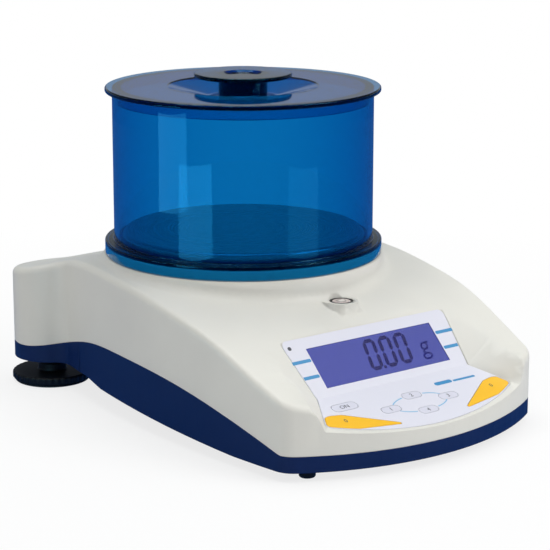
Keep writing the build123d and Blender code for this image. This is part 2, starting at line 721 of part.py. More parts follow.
with BuildPart() as tray_room:
    # The space inside the lower housing, clear of every pad that stands on its floor.
    add(plan_outline(WALL))
    extrude(amount=BEYOND)
    add(side_prism(raised(BOTTOM_LINE, WALL), upwards=True), mode=Mode.INTERSECT)
    with BuildSketch(Plane.XY):
        discs(plate_pads, PILLAR)
    extrude(amount=BASE_Z, mode=Mode.SUBTRACT)
    with BuildSketch(Plane.XY):
        discs(board_pads, PILLAR)
    extrude(amount=MAIN_BOARD_Z, mode=Mode.SUBTRACT)
    for place, base in zip(screw_spots, screw_bases):
        with BuildSketch(Plane.XY):
            discs([place], PILLAR)
        extrude(amount=base + PILLAR_RISE, mode=Mode.SUBTRACT)
    for place, base in zip(cover_screws, cover_bases):
        with BuildSketch(Plane.XY):
            rectangles([place], cover_tab, -WALL)
        extrude(amount=base + 2 * WALL + THREAD_SHORT, mode=Mode.SUBTRACT)
    with BuildSketch(Plane.XY):
        discs(foot_spots, INSERT_RADIUS + WALL)
    extrude(amount=ear_bottom + INSERT_LENGTH, mode=Mode.SUBTRACT)
    with BuildSketch(Plane.XY):
        discs(front_feet, FRONT_FOOT_RADIUS + WALL)
    extrude(amount=front_foot_top + WALL, mode=Mode.SUBTRACT)

with BuildPart() as above_seam:
    # Everything above the seam, except the pads and sockets that reach past it.
    add(seam_side(upwards=True))
    with BuildSketch(Plane.XY):
        discs(plate_pads + board_pads + screw_spots, PILLAR)
        discs(foot_spots, INSERT_RADIUS + WALL)
    extrude(amount=BEYOND, mode=Mode.SUBTRACT)

with BuildPart() as cover_room:
    # Seats of the battery cover's two tabs, as deep as the floor is thick.
    with BuildSketch():
        rectangles(cover_screws, cover_tab, 0)
    extrude(amount=BEYOND)
    add(side_prism(raised(BOTTOM_LINE, WALL), upwards=False), mode=Mode.INTERSECT)

with BuildPart() as lower_housing:
    add(plan_outline(0))
    extrude(amount=BEYOND)
    add(side_prism(BOTTOM_LINE, upwards=True), mode=Mode.INTERSECT)
    add(tray_room.part, mode=Mode.SUBTRACT)
    add(above_seam.part, mode=Mode.SUBTRACT)
    for places, top in ((plate_pads, BASE_Z), (board_pads, MAIN_BOARD_Z)):
        with BuildSketch(Plane.XY.offset(top)):
            discs(places, PILLAR)
        extrude(amount=BEYOND, mode=Mode.SUBTRACT)
        with BuildSketch(Plane.XY.offset(top - THREAD_SHORT - RUN)):
            discs(places, SCREW_RADIUS + FIT)
        extrude(amount=BEYOND, mode=Mode.SUBTRACT)
    with BuildSketch(Plane.XY.offset(ear_bottom + INSERT_LENGTH)):
        discs(foot_spots, INSERT_RADIUS + 2 * WALL)
    extrude(amount=BEYOND, mode=Mode.SUBTRACT)
    for place, base in zip(screw_spots, screw_bases):
        with BuildSketch(Plane.XY.offset(base + PILLAR_RISE)):
            discs([place], PILLAR)
        extrude(amount=BEYOND, mode=Mode.SUBTRACT)
        with BuildSketch(Plane.XY):
            discs([place], HEAD_RADIUS + FIT)
        extrude(amount=base + HEAD_HEIGHT, mode=Mode.SUBTRACT)
    add(cover_room.part, mode=Mode.SUBTRACT)
    for place, base in zip(cover_screws, cover_bases):
        with BuildSketch(Plane.XY):
            discs([place], SCREW_RADIUS + FIT)
        extrude(amount=base + WALL + THREAD_SHORT, mode=Mode.SUBTRACT)
    with BuildSketch(Plane.XY):
        discs(screw_spots, SCREW_RADIUS + FIT)
        discs(foot_spots, INSERT_RADIUS + FIT)
        discs([(0, SHIELD_Y)], PLUG_RADIUS + FIT)
        rectangles([(BATTERY_X, battery_y)], cover_size, 0)
    extrude(amount=BEYOND, mode=Mode.SUBTRACT)
    with BuildSketch(Plane.XY):
        discs(front_feet, FRONT_FOOT_RADIUS + FIT)
    extrude(amount=front_foot_top, mode=Mode.SUBTRACT)
finish(lower_housing, "lower_housing")

# ================================================================ feet
sole_radius = FOOT_RADIUS - SOLE_INSET
knob_bottom = SOLE_HEIGHT
knob_top = SOLE_HEIGHT + FOOT_HEIGHT
neck_top = ear_bottom - FOOT_LIFT - RUN

for side, x in (("left", -EAR_X), ("right", EAR_X)):
    with BuildPart() as sole:
        # Rubber sole, clipped to the knob so that it stays still while the knob turns.
        with BuildSketch():
            discs([(x, FOOT_Y)], sole_radius)
        extrude(amount=SOLE_HEIGHT)
        chamfer(sole.edges().group_by(Axis.Z)[0], SOLE_HEIGHT / 4)
        with BuildSketch(Plane.XY.offset(SOLE_HEIGHT)):
            discs([(x, FOOT_Y)], SOLE_PIN)
        extrude(amount=SOLE_PIN_LENGTH)
    finish(sole, f"{side}_foot_sole")

    with BuildPart() as knob:
        # Round knob moulded on the threaded stud.
        with BuildSketch(Plane.XY.offset(knob_bottom)):
            discs([(x, FOOT_Y)], FOOT_RADIUS)
        extrude(amount=FOOT_HEIGHT)
        fillet(knob.edges().group_by(Axis.Z)[-1], KNOB_EDGE)
        with BuildSketch(Plane.XY.offset(knob_top)):
            discs([(x, FOOT_Y)], NECK_RADIUS)
        extrude(amount=neck_top - knob_top)
        with BuildSketch(Plane.XY.offset(neck_top)):
            discs([(x, FOOT_Y)], STUD_RADIUS)
        extrude(amount=STUD_TOP - neck_top)
        with BuildSketch(Plane.XY.offset(knob_bottom)):
            discs([(x, FOOT_Y)], SOLE_PIN + FIT)
        extrude(amount=SOLE_PIN_LENGTH + RUN, mode=Mode.SUBTRACT)
    finish(knob, f"{side}_foot_knob")

    with BuildPart() as insert:
        # Threaded brass insert moulded into the ear.
        with BuildSketch(Plane.XY.offset(ear_bottom)):
            discs([(x, FOOT_Y)], INSERT_RADIUS)
            with Locations((x, FOOT_Y)):
                Circle(STUD_RADIUS + FIT, mode=Mode.SUBTRACT)
        extrude(amount=INSERT_LENGTH)
    finish(insert, f"{side}_foot_insert")

for (x, y), side in zip(front_feet, ("left", "right")):
    with BuildPart() as foot:
        # Rubber foot pressed into its seat.
        with BuildSketch():
            discs([(x, y)], FRONT_FOOT_RADIUS)
        extrude(amount=front_foot_top)
        fillet(foot.edges().group_by(Axis.Z)[0], FRONT_FOOT_RADIUS / 4)
    finish(foot, f"{side}_front_foot")


# ================================================================ draught shield
def turned(label, profile):
    """A round piece about the shield's axis, from a closed outline of radius and height."""
    with BuildPart() as piece:
        with BuildSketch(Plane.XZ.offset(-SHIELD_Y)):
            with BuildLine():
                Polyline(*profile, close=True)
            make_face()
        revolve(axis=Axis((0, SHIELD_Y, 0), (0, 0, 1)))
    return piece


shield_inner = SHIELD_RADIUS - SHIELD_WALL
web_top = COLLAR_TOP + WEB
shield = turned("draft_shield", [
    (SKIRT_RADIUS, SKIRT_BOTTOM), (SKIRT_RADIUS, web_top), (SHIELD_RADIUS, web_top),
    (SHIELD_RADIUS, LID_SEAT), (shield_inner, LID_SEAT), (shield_inner, COLLAR_TOP),
    (SKIRT_RADIUS - SKIRT_WALL, COLLAR_TOP), (SKIRT_RADIUS - SKIRT_WALL, SKIRT_BOTTOM)])
with BuildPart() as draft_shield:
    add(shield.part)
    fillet(draft_shield.edges().filter_by(GeomType.CIRCLE).filter_by(
        lambda e: abs(e.radius - SKIRT_RADIUS) < FIT and abs(e.center().Z - web_top) < FIT), WEB / 3)
finish(draft_shield, "draft_shield")

lid_top = LID_SEAT + LID_PLATE
dish_top = lid_top - DISH_DEPTH
lip_radius = shield_inner - RUN
lid = turned("shield_lid", [
    (0, dish_top), (DISH_FLOOR_RADIUS, dish_top), (DISH_RADIUS, lid_top), (LID_RADIUS, lid_top),
    (LID_RADIUS, LID_SEAT), (lip_radius, LID_SEAT), (lip_radius, LID_SEAT - LID_LIP),
    (lip_radius - LID_LIP_WALL, LID_SEAT - LID_LIP), (lip_radius - LID_LIP_WALL, LID_SEAT),
    (DISH_RADIUS, LID_SEAT), (DISH_FLOOR_RADIUS, dish_top - LID_PLATE), (0, dish_top - LID_PLATE)])
with BuildPart() as shield_lid:
    add(lid.part)
    fillet(shield_lid.edges().filter_by(GeomType.CIRCLE).filter_by(
        lambda e: abs(e.radius - LID_RADIUS) < FIT), LID_PLATE / 3)
finish(shield_lid, "shield_lid")

knob_z = lid_top + KNOB_HEIGHT
lid_knob = turned("lid_knob", [
    (0, dish_top), (KNOB_STEM, dish_top), (KNOB_STEM, knob_z - KNOB_THICKNESS),
    (KNOB_RADIUS, knob_z - KNOB_THICKNESS), (KNOB_RADIUS, knob_z), (KNOB_DIMPLE, knob_z),
    (KNOB_DIMPLE, knob_z - KNOB_THICKNESS / 2), (0, knob_z - KNOB_THICKNESS / 2)])
finish(lid_knob, "lid_knob")

# ================================================================ weighing pan and what carries it
post_top = PAN_TOP - PAN_SHEET
weighing_pan = turned("weighing_pan", [
    (0, PAN_TOP), (PAN_RADIUS, PAN_TOP), (PAN_RADIUS, PAN_TOP - PAN_RIM),
    (PAN_RADIUS - PAN_SHEET, PAN_TOP - PAN_RIM), (PAN_RADIUS - PAN_SHEET, PAN_TOP - PAN_SHEET),
    (PAN_SOCKET, PAN_TOP - PAN_SHEET), (PAN_SOCKET, PAN_TOP - PAN_SHEET - POST_ENGAGE),
    (POST_RADIUS + FIT, PAN_TOP - PAN_SHEET - POST_ENGAGE), (POST_RADIUS + FIT, PAN_TOP - PAN_SHEET),
    (0, PAN_TOP - PAN_SHEET)])
finish(weighing_pan, "weighing_pan")

plate_top = BASE_Z + BASE_PLATE[2]
cell_bottom = plate_top + CELL_BLOCK[2]
cell_top = cell_bottom + CELL[2]
spider_bottom = cell_top + SEAT + SPIDER_PAD
spider_top = spider_bottom + SPIDER_THICKNESS
cell_rear_y = SHIELD_Y + CELL[1] / 2
block_y = cell_rear_y - CELL_BLOCK[1] / 2
pad_y = SHIELD_Y - CELL[1] / 2 + CELL_BLOCK[1] / 2
block_screws = [(0, block_y - CELL_SCREW_PITCH / 2), (0, block_y + CELL_SCREW_PITCH / 2)]
pad_screws = [(0, pad_y - CELL_SCREW_PITCH / 2), (0, pad_y + CELL_SCREW_PITCH / 2)]
arm_ends = [(sx * SPIDER_ARM, SHIELD_Y + sy * SPIDER_ARM) for sx in (-1, 1) for sy in (-1, 1)]

with BuildPart() as base_plate:
    with BuildSketch(Plane.XY.offset(BASE_Z)):
        with Locations((0, plate_y)):
            RectangleRounded(BASE_PLATE[0], BASE_PLATE[1], BASE_PLATE_CORNER)
            Circle(PLUG_FLANGE, mode=Mode.SUBTRACT)
        with Locations(*plate_pads, *block_screws):
            Circle(SCREW_RADIUS + FIT, mode=Mode.SUBTRACT)
        with Locations(*arm_ends):
            Circle(STOP_RADIUS - STOP_SHOULDER + FIT, mode=Mode.SUBTRACT)
    extrude(amount=BASE_PLATE[2])
finish(base_plate, "base_plate")

with BuildPart() as cell_mount_block:
    with BuildSketch(Plane.XY.offset(plate_top)):
        with Locations((0, block_y)):
            Rectangle(CELL_BLOCK[0], CELL_BLOCK[1])
        with Locations(*block_screws):
            Circle(SCREW_RADIUS + FIT, mode=Mode.SUBTRACT)
    extrude(amount=CELL_BLOCK[2])
finish(cell_mount_block, "cell_mount_block")

with BuildPart() as load_cell:
    # Aluminium bar thinned by two joined holes, so that its free end sinks level.
    with BuildSketch(Plane.XY.offset(cell_bottom)):
        with Locations((0, SHIELD_Y)):
            Rectangle(CELL[0], CELL[1])
    extrude(amount=CELL[2])
    fillet(load_cell.edges().filter_by(Axis.Z), CELL_CORNER)
    with BuildSketch(Plane.YZ):
        with Locations((SHIELD_Y, (cell_bottom + cell_top) / 2)):
            with GridLocations(CELL_HOLE_PITCH, 0, 2, 1):
                Circle(CELL_HOLE)
            Rectangle(CELL_HOLE_PITCH, CELL_HOLE)
    extrude(amount=CELL[0], both=True, mode=Mode.SUBTRACT)
    with BuildSketch(Plane.XY.offset(cell_bottom)):
        discs(block_screws, SCREW_RADIUS + FIT)
    extrude(amount=CELL[2] / 2, mode=Mode.SUBTRACT)
    with BuildSketch(Plane.XY.offset(cell_top)):
        discs(pad_screws, SCREW_RADIUS + RUN)
    extrude(amount=-CELL[2] / 2, mode=Mode.SUBTRACT)
finish(load_cell, "load_cell")

with BuildPart() as pan_support:
    # Cast cross that stands on the cell's free end; its post carries the pan.
    with BuildSketch(Plane.XY.offset(spider_bottom)):
        for turn in (45, -45):
            with Locations(Location((0, SHIELD_Y), turn)):
                SlotOverall(2 * math.sqrt(2) * SPIDER_ARM + SPIDER_ARM_WIDTH, SPIDER_ARM_WIDTH)
        with Locations((0, (pad_y + SHIELD_Y) / 2)):
            Rectangle(CELL[0], SHIELD_Y - pad_y + CELL_BLOCK[1])
    extrude(amount=SPIDER_THICKNESS)
    with BuildSketch(Plane.XY.offset(spider_bottom - SPIDER_PAD)):
        with Locations((0, pad_y)):
            Rectangle(CELL[0], CELL_BLOCK[1])
    extrude(amount=SPIDER_PAD)
    with BuildSketch(Plane.XY.offset(spider_top)):
        discs([(0, SHIELD_Y)], POST_RADIUS)
    extrude(amount=post_top - spider_top)
    with BuildSketch(Plane.XY.offset(spider_bottom - SPIDER_PAD)):
        discs(pad_screws, SCREW_RADIUS + FIT)
    extrude(amount=SPIDER_PAD + SPIDER_THICKNESS, mode=Mode.SUBTRACT)
finish(pan_support, "pan_support")

with BuildPart() as overload_stops:
    # Four shouldered pillars that catch the arms of the pan support at full load.
    with BuildSketch(Plane.XY.offset(plate_top)):
        discs(arm_ends, STOP_RADIUS)
    extrude(amount=spider_bottom - SEAT - plate_top)
    with BuildSketch(Plane.XY.offset(BASE_Z)):
        discs(arm_ends, STOP_RADIUS - STOP_SHOULDER)
    extrude(amount=BASE_PLATE[2])
finish(overload_stops, "overload_stops")


# ================================================================ screws
def screws(label, places, head_z, length, upwards=True):
    """A group of pan-head screws; head_z is the height of the face under their heads."""
    way = 1 if upwards else -1
    with BuildPart() as group:
        for (x, y), z in zip(places, head_z):
            with BuildSketch(Plane.XY.offset(z)):
                discs([(x, y)], HEAD_RADIUS)
            extrude(amount=-way * HEAD_HEIGHT)
            with BuildSketch(Plane.XY.offset(z)):
                discs([(x, y)], SCREW_RADIUS)
            extrude(amount=way * length)
            with BuildSketch(Plane.XY.offset(z - way * HEAD_HEIGHT)):
                with Locations((x, y)):
                    RegularPolygon(SCREW_RADIUS, 6)
            extrude(amount=way * HEAD_HEIGHT / 2, mode=Mode.SUBTRACT)
    finish(group, label)


screws("housing_screws", screw_spots, [base + HEAD_HEIGHT for base in screw_bases],
       PILLAR_RISE - HEAD_HEIGHT + THREAD_DEPTH - RUN)
screws("base_plate_screws", plate_pads, [plate_top] * 4, BASE_PLATE[2] + THREAD_SHORT, upwards=False)
screws("main_board_screws", board_pads, [MAIN_BOARD_Z + BOARD] * 4, BOARD + THREAD_SHORT, upwards=False)
screws("cell_screws", block_screws, [BASE_Z] * 2, BASE_PLATE[2] + CELL_BLOCK[2] + CELL[2] / 2 - RUN)
screws("pan_support_screws", pad_screws, [spider_top] * 2,
       SPIDER_THICKNESS + SPIDER_PAD + SEAT + CELL[2] / 2 - 2 * RUN, upwards=False)


def board_screws(label, plane, places, thread):
    """Screws that hold a board to the posts behind the panel, driven from inside."""
    with BuildPart() as group:
        for place in places:
            with BuildSketch(plane):
                discs([place], HEAD_RADIUS)
            extrude(amount=-HEAD_HEIGHT)
            with BuildSketch(plane):
                discs([place], SCREW_RADIUS - FIT)
            extrude(amount=BOARD + thread)
    finish(group, label)


display_posts = [(sx * display_post_pitch[0] / 2, window_middle[1] + sy * display_post_pitch[1] / 2)
                 for sx in (-1, 1) for sy in (-1, 1)]
board_screws("display_board_screws", display_plane.offset(-display_board_depth - BOARD), display_posts,
             THREAD_SHORT)
board_screws("keypad_board_screws", keypad_plane.offset(-board_depth - DOME - BOARD), keypad_posts,
             THREAD_SHORT / 2)

# ================================================================ electronics and battery
with BuildPart() as main_board:
    with BuildSketch(Plane.XY.offset(MAIN_BOARD_Z)):
        with Locations((0, main_board_y)):
            Rectangle(*MAIN_BOARD)
        with Locations(*board_pads):
            Circle(SCREW_RADIUS + FIT, mode=Mode.SUBTRACT)
    extrude(amount=BOARD)
    with BuildSketch(Plane.XY.offset(MAIN_BOARD_Z + BOARD)):
        for x, y, size in CHIPS:
            with Locations((x, main_board_y + y)):
                Rectangle(*size)
    extrude(amount=CHIP_HEIGHT)
finish(main_board, "main_board")

with BuildPart() as battery_pack:
    battery_z = underside_z(BATTERY_SIDE + cover_size[1] / 2) + WALL
    with BuildSketch(Plane.XY.offset(battery_z)):
        with Locations((BATTERY_X, battery_y)):
            Rectangle(BATTERY[0], BATTERY[1])
    extrude(amount=BATTERY[2])
    fillet(battery_pack.edges().filter_by(Axis.Y), CORNER_RADIUS / 3)
finish(battery_pack, "battery_pack")

with BuildPart() as battery_cover:
    with BuildSketch():
        rectangles([(BATTERY_X, battery_y)], cover_size, RUN)
        rectangles(cover_screws, cover_tab, RUN)
        with Locations((BATTERY_X, battery_y)):
            Rectangle(cover_tab[0] - 2 * RUN, cover_size[1] + cover_tab[1])
    extrude(amount=BEYOND)
    add(side_prism(BOTTOM_LINE, upwards=True), mode=Mode.INTERSECT)
    add(side_prism(raised(BOTTOM_LINE, WALL), upwards=False), mode=Mode.INTERSECT)
    for place, base in zip(cover_screws, cover_bases):
        with BuildSketch():
            discs([place], HEAD_RADIUS + FIT)
        extrude(amount=base + HEAD_HEIGHT, mode=Mode.SUBTRACT)
    with BuildSketch():
        discs(cover_screws, SCREW_RADIUS + FIT)
    extrude(amount=BEYOND, mode=Mode.SUBTRACT)
finish(battery_cover, "battery_cover")
screws("battery_cover_screws", cover_screws, [base + HEAD_HEIGHT for base in cover_bases],
       WALL - HEAD_HEIGHT + THREAD_SHORT - RUN)

with BuildPart() as bung_flange:
    with BuildSketch():
        discs([(0, SHIELD_Y)], PLUG_FLANGE)
    extrude(amount=PLUG_FLANGE_TOP)
    add(side_prism(raised(BOTTOM_LINE, WALL), upwards=True), mode=Mode.INTERSECT)

with BuildPart() as weigh_below_plug:
    # Rubber bung in the underside; the hook for weighing below hangs behind it.
    with BuildSketch():
        discs([(0, SHIELD_Y)], PLUG_RADIUS)
    extrude(amount=PLUG_FLANGE_TOP)
    add(side_prism(BOTTOM_LINE, upwards=True), mode=Mode.INTERSECT)
    add(bung_flange.part)
finish(weigh_below_plug, "weigh_below_plug")

# ================================================================ ports in the rear wall
with BuildPart() as power_jack:
    # Panel socket for the mains adaptor: bored barrel with a centre pin.
    with BuildSketch(Plane.XZ.offset(-rear_wall_y)):
        with Locations((JACK_X, PORT_Z)):
            Circle(JACK_RADIUS + PORT_STEP)
    extrude(amount=-PORT_STEP)
    with BuildSketch(Plane.XZ.offset(-rear_wall_y)):
        with Locations((JACK_X, PORT_Z)):
            Circle(JACK_RADIUS)
    extrude(amount=JACK_DEPTH)
    with BuildSketch(Plane.XZ.offset(-rear_wall_y - PORT_STEP)):
        with Locations((JACK_X, PORT_Z)):
            Circle(JACK_BORE)
            Circle(JACK_PIN, mode=Mode.SUBTRACT)
    extrude(amount=JACK_DEPTH - WALL, mode=Mode.SUBTRACT)
finish(power_jack, "power_jack")

with BuildPart() as data_port:
    # Nine-pin data connector: flange, metal shell and its insulator.
    with BuildSketch(Plane.XZ.offset(-rear_wall_y)):
        with Locations((DATA_X, PORT_Z)):
            Rectangle(*DATA_FLANGE)
            with GridLocations(DATA_SCREW_PITCH, 0, 2, 1):
                Circle(SCREW_RADIUS, mode=Mode.SUBTRACT)
    extrude(amount=-PORT_STEP)
    with BuildSketch(Plane.XZ.offset(-rear_wall_y)):
        with Locations((DATA_X, PORT_Z)):
            Rectangle(*DATA_SHELL)
    extrude(amount=DATA_DEPTH)
    with BuildSketch(Plane.XZ.offset(-rear_wall_y - PORT_STEP)):
        with Locations((DATA_X, PORT_Z)):
            Rectangle(*DATA_SHELL)
            offset(amount=-DATA_SKIN, kind=Kind.ARC)
    extrude(amount=-DATA_DEPTH / 2)
    with BuildSketch(Plane.XZ.offset(-rear_wall_y - PORT_STEP - DATA_DEPTH / 2)):
        for row, count in ((1, 5), (-1, 4)):
            with Locations((DATA_X, PORT_Z + row * DATA_PIN_PITCH / 2)):
                with GridLocations(DATA_PIN_PITCH, 0, count, 1):
                    Circle(DATA_PIN)
    extrude(amount=DATA_DEPTH / 2, mode=Mode.SUBTRACT)
finish(data_port, "data_port")

# ================================================================ spirit level
with BuildPart() as level_cup:
    with BuildSketch(Plane.XY.offset(NOSE_TOP - LEVEL_DEPTH)):
        discs([(0, level_y)], LEVEL_RADIUS)
    extrude(amount=LEVEL_DEPTH)
    with BuildSketch(Plane.XY.offset(NOSE_TOP)):
        discs([(0, level_y)], LEVEL_RADIUS - LEVEL_SKIN)
    extrude(amount=LEVEL_SKIN - LEVEL_DEPTH, mode=Mode.SUBTRACT)
finish(level_cup, "level_cup")

with BuildPart() as level_vial:
    with BuildSketch(Plane.XY.offset(NOSE_TOP - LEVEL_DEPTH + LEVEL_SKIN)):
        discs([(0, level_y)], LEVEL_RADIUS - LEVEL_SKIN - FIT)
    extrude(amount=LEVEL_DEPTH - LEVEL_SKIN)
finish(level_vial, "level_vial")
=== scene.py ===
"""Precision balance under a round draught shield: its finishes, printed panel, light and camera."""

import json
import math

import bmesh
import bpy
import numpy as np
from mathutils import Euler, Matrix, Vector

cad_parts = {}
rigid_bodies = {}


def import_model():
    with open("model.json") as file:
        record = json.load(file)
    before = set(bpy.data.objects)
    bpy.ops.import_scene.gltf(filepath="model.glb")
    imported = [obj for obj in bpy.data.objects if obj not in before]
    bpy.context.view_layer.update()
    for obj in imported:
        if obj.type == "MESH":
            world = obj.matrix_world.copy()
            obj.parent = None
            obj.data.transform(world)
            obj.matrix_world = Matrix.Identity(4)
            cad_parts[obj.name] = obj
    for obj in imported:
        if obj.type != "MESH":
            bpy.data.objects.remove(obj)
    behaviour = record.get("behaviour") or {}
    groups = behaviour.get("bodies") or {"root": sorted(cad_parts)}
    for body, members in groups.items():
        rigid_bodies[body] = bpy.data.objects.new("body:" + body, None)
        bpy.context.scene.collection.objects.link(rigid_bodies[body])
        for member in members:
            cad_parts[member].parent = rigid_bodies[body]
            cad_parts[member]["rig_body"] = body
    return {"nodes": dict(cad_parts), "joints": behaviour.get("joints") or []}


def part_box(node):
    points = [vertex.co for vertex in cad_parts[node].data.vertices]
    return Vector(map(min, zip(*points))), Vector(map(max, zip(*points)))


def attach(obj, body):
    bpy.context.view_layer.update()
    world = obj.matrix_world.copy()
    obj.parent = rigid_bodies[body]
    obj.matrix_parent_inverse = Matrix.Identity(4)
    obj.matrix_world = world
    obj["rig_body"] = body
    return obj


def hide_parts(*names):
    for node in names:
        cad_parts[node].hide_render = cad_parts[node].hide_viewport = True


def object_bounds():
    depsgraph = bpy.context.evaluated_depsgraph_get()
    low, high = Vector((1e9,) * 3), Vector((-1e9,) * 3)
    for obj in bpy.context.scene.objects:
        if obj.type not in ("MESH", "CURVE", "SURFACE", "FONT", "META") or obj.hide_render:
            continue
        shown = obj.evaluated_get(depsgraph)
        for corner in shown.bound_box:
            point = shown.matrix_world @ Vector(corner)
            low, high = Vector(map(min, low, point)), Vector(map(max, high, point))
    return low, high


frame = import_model()
cad_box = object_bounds()
MM = 0.001

# ---------------------------------------------------------------- moulded shells
# Two injection-moulded ABS shells, ivory over navy, that meet in an arched seam.
# Their faces are fine spark-eroded, which gives a soft sheen with no sharp reflections.
# Six screws from below draw them together.


def linear(hex_colour):
    """sRGB hex to linear light: c/12.92 below 0.04045, ((c + 0.055)/1.055)^2.4 above."""
    c = np.array([int(hex_colour[i:i + 2], 16) for i in (1, 3, 5)]) / 255.0
    light = np.where(c <= 0.04045, c / 12.92, ((c + 0.055) / 1.055) ** 2.4)
    return (*light.tolist(), 1.0)


def add_node(tree, kind, values=(), links=(), **settings):
    """Adds one node: settings are its own properties, values fill sockets, links feed sockets."""
    made = tree.nodes.new(kind)
    for key, value in settings.items():
        setattr(made, key, value)
    for socket, value in dict(values).items():
        made.inputs[socket].default_value = value
    for socket, output in dict(links).items():
        tree.links.new(output, made.inputs[socket])
    return made


def start_material(name, hex_colour, roughness, **sockets):
    """A material with one Principled shader; returns it, its tree and the shader."""
    made = bpy.data.materials.new(name)
    made.use_nodes = True
    shader = made.node_tree.nodes["Principled BSDF"]
    shader.inputs["Base Color"].default_value = linear(hex_colour)
    shader.inputs["Roughness"].default_value = roughness
    for socket, value in sockets.items():
        shader.inputs[socket.replace("_", " ")].default_value = value
    return made, made.node_tree, shader


def moulded_plastic(name, hex_colour, roughness, grain, depth, edge=0.0, sheen=0.5):
    """Moulded plastic: its eroded grain as bump, and slow cloudy changes of colour and gloss.

    Spark-eroded grain is 0.03 mm in life and is drawn coarser, so that a picture can hold it.
    """
    made, tree, shader = start_material(name, hex_colour, roughness, Specular_IOR_Level=sheen)
    place = add_node(tree, "ShaderNodeTexCoord").outputs["Object"]
    grit = add_node(tree, "ShaderNodeTexNoise", {"Scale": 1 / grain, "Detail": 2.0}, {"Vector": place})
    cloud = add_node(tree, "ShaderNodeTexNoise", {"Scale": 18.0, "Detail": 3.0}, {"Vector": place})
    gloss = add_node(tree, "ShaderNodeMapRange",
                     {"From Min": 0.3, "From Max": 0.7, "To Min": roughness - 0.05, "To Max": roughness + 0.06},
                     {"Value": cloud.outputs["Fac"]})
    tree.links.new(gloss.outputs["Result"], shader.inputs["Roughness"])
    tone = add_node(tree, "ShaderNodeMapRange",
                    {"From Min": 0.3, "From Max": 0.7, "To Min": 0.97, "To Max": 1.03},
                    {"Value": cloud.outputs["Fac"]})
    shade = add_node(tree, "ShaderNodeHueSaturation", {"Color": linear(hex_colour)},
                     {"Value": tone.outputs["Result"]})
    tree.links.new(shade.outputs["Color"], shader.inputs["Base Color"])
    bump = add_node(tree, "ShaderNodeBump", {"Strength": 0.35, "Distance": depth},
                    {"Height": grit.outputs["Fac"]})
    if edge:
        soft = add_node(tree, "ShaderNodeBevel", {"Radius": edge}, samples=6)
        tree.links.new(soft.outputs["Normal"], bump.inputs["Normal"])
    tree.links.new(bump.outputs["Normal"], shader.inputs["Normal"])
    return made


def smooth_copy(node, name, material, sharp=28):
    """The CAD piece's own surface, merged and shaded smooth; edges over the angle stay crisp."""
    source = frame["nodes"][node]
    shell = bmesh.new()
    shell.from_mesh(source.data)
    bmesh.ops.remove_doubles(shell, verts=shell.verts, dist=0.002 * MM)
    mesh = bpy.data.meshes.new(name)
    shell.to_mesh(mesh)
    shell.free()
    mesh.shade_smooth()
    mesh.set_sharp_from_angle(angle=math.radians(sharp))
    mesh.materials.clear()
    mesh.materials.append(material)
    piece = bpy.data.objects.new(name, mesh)
    bpy.context.scene.collection.objects.link(piece)
    even = piece.modifiers.new("even_shading", "WEIGHTED_NORMAL")
    even.keep_sharp = True
    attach(piece, source["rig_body"])
    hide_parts(node)
    return piece


ivory_abs = moulded_plastic("ivory_abs_spark_eroded", "#E6E4DC", 0.45, 0.45 * MM, 0.02 * MM, edge=0.9 * MM)
navy_abs = moulded_plastic("navy_abs_spark_eroded", "#092659", 0.42, 0.45 * MM, 0.02 * MM, edge=0.6 * MM, sheen=0.2)
upper_shell = smooth_copy("upper_housing", "upper_shell", ivory_abs)
lower_shell = smooth_copy("lower_housing", "lower_shell", navy_abs)


# ---------------------------------------------------------------- printed membrane
# A polyester film with matt lavender-white ink on its back, glued into the panel recess.
# The blue stripes, arcs and figures are further ink layers, drawn a hair above the film.


def dress(node, material):
    """Gives a CAD piece that keeps its own shape its finish."""
    data = frame["nodes"][node].data
    data.materials.clear()
    data.materials.append(material)


def put_mesh(name, points, faces, material, body, smooth=True, sharp=40):
    """Makes a piece of points and faces, with doubles merged and faces turned outwards."""
    mesh = bpy.data.meshes.new(name)
    mesh.from_pydata(np.asarray(points).reshape(-1, 3).tolist(), [], np.asarray(faces).tolist())
    shell = bmesh.new()
    shell.from_mesh(mesh)
    bmesh.ops.remove_doubles(shell, verts=shell.verts, dist=0.0005 * MM)
    bmesh.ops.recalc_face_normals(shell, faces=shell.faces)
    shell.to_mesh(mesh)
    shell.free()
    if smooth:
        mesh.shade_smooth()
        mesh.set_sharp_from_angle(angle=math.radians(sharp))
    mesh.materials.append(material)
    piece = bpy.data.objects.new(name, mesh)
    bpy.context.scene.collection.objects.link(piece)
    if smooth:
        even = piece.modifiers.new("even_shading", "WEIGHTED_NORMAL")
        even.keep_sharp = True
    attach(piece, body)
    return piece


def printed_film(name, hex_colour, roughness):
    """Matt printed polyester: the film's fine embossed grain under a little sheen."""
    made, tree, shader = start_material(name, hex_colour, roughness, Coat_Weight=0.12, Coat_Roughness=0.25)
    place = add_node(tree, "ShaderNodeTexCoord").outputs["Object"]
    grain = add_node(tree, "ShaderNodeTexVoronoi", {"Scale": 1 / (0.5 * MM)}, {"Vector": place})
    bump = add_node(tree, "ShaderNodeBump", {"Strength": 0.12, "Distance": 0.01 * MM},
                    {"Height": grain.outputs["Distance"]})
    tree.links.new(bump.outputs["Normal"], shader.inputs["Normal"])
    return made


FRONT = cad_box[0].y
FILM = 0.8 * MM
DISPLAY_TILT = math.radians(44.3)
press_axis = next(j["axis"] for j in frame["joints"] if j["name"] == "power_key_press")
KEYPAD_TILT = math.atan2(press_axis[1], -press_axis[2])
INK = 0.04 * MM

window_low, window_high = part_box("display_window")
display_start = (window_low.y, window_low.z + FILM * math.cos(DISPLAY_TILT))
overlay_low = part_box("panel_overlay")[0]
keypad_start = (overlay_low.y, overlay_low.z + FILM / math.cos(KEYPAD_TILT))


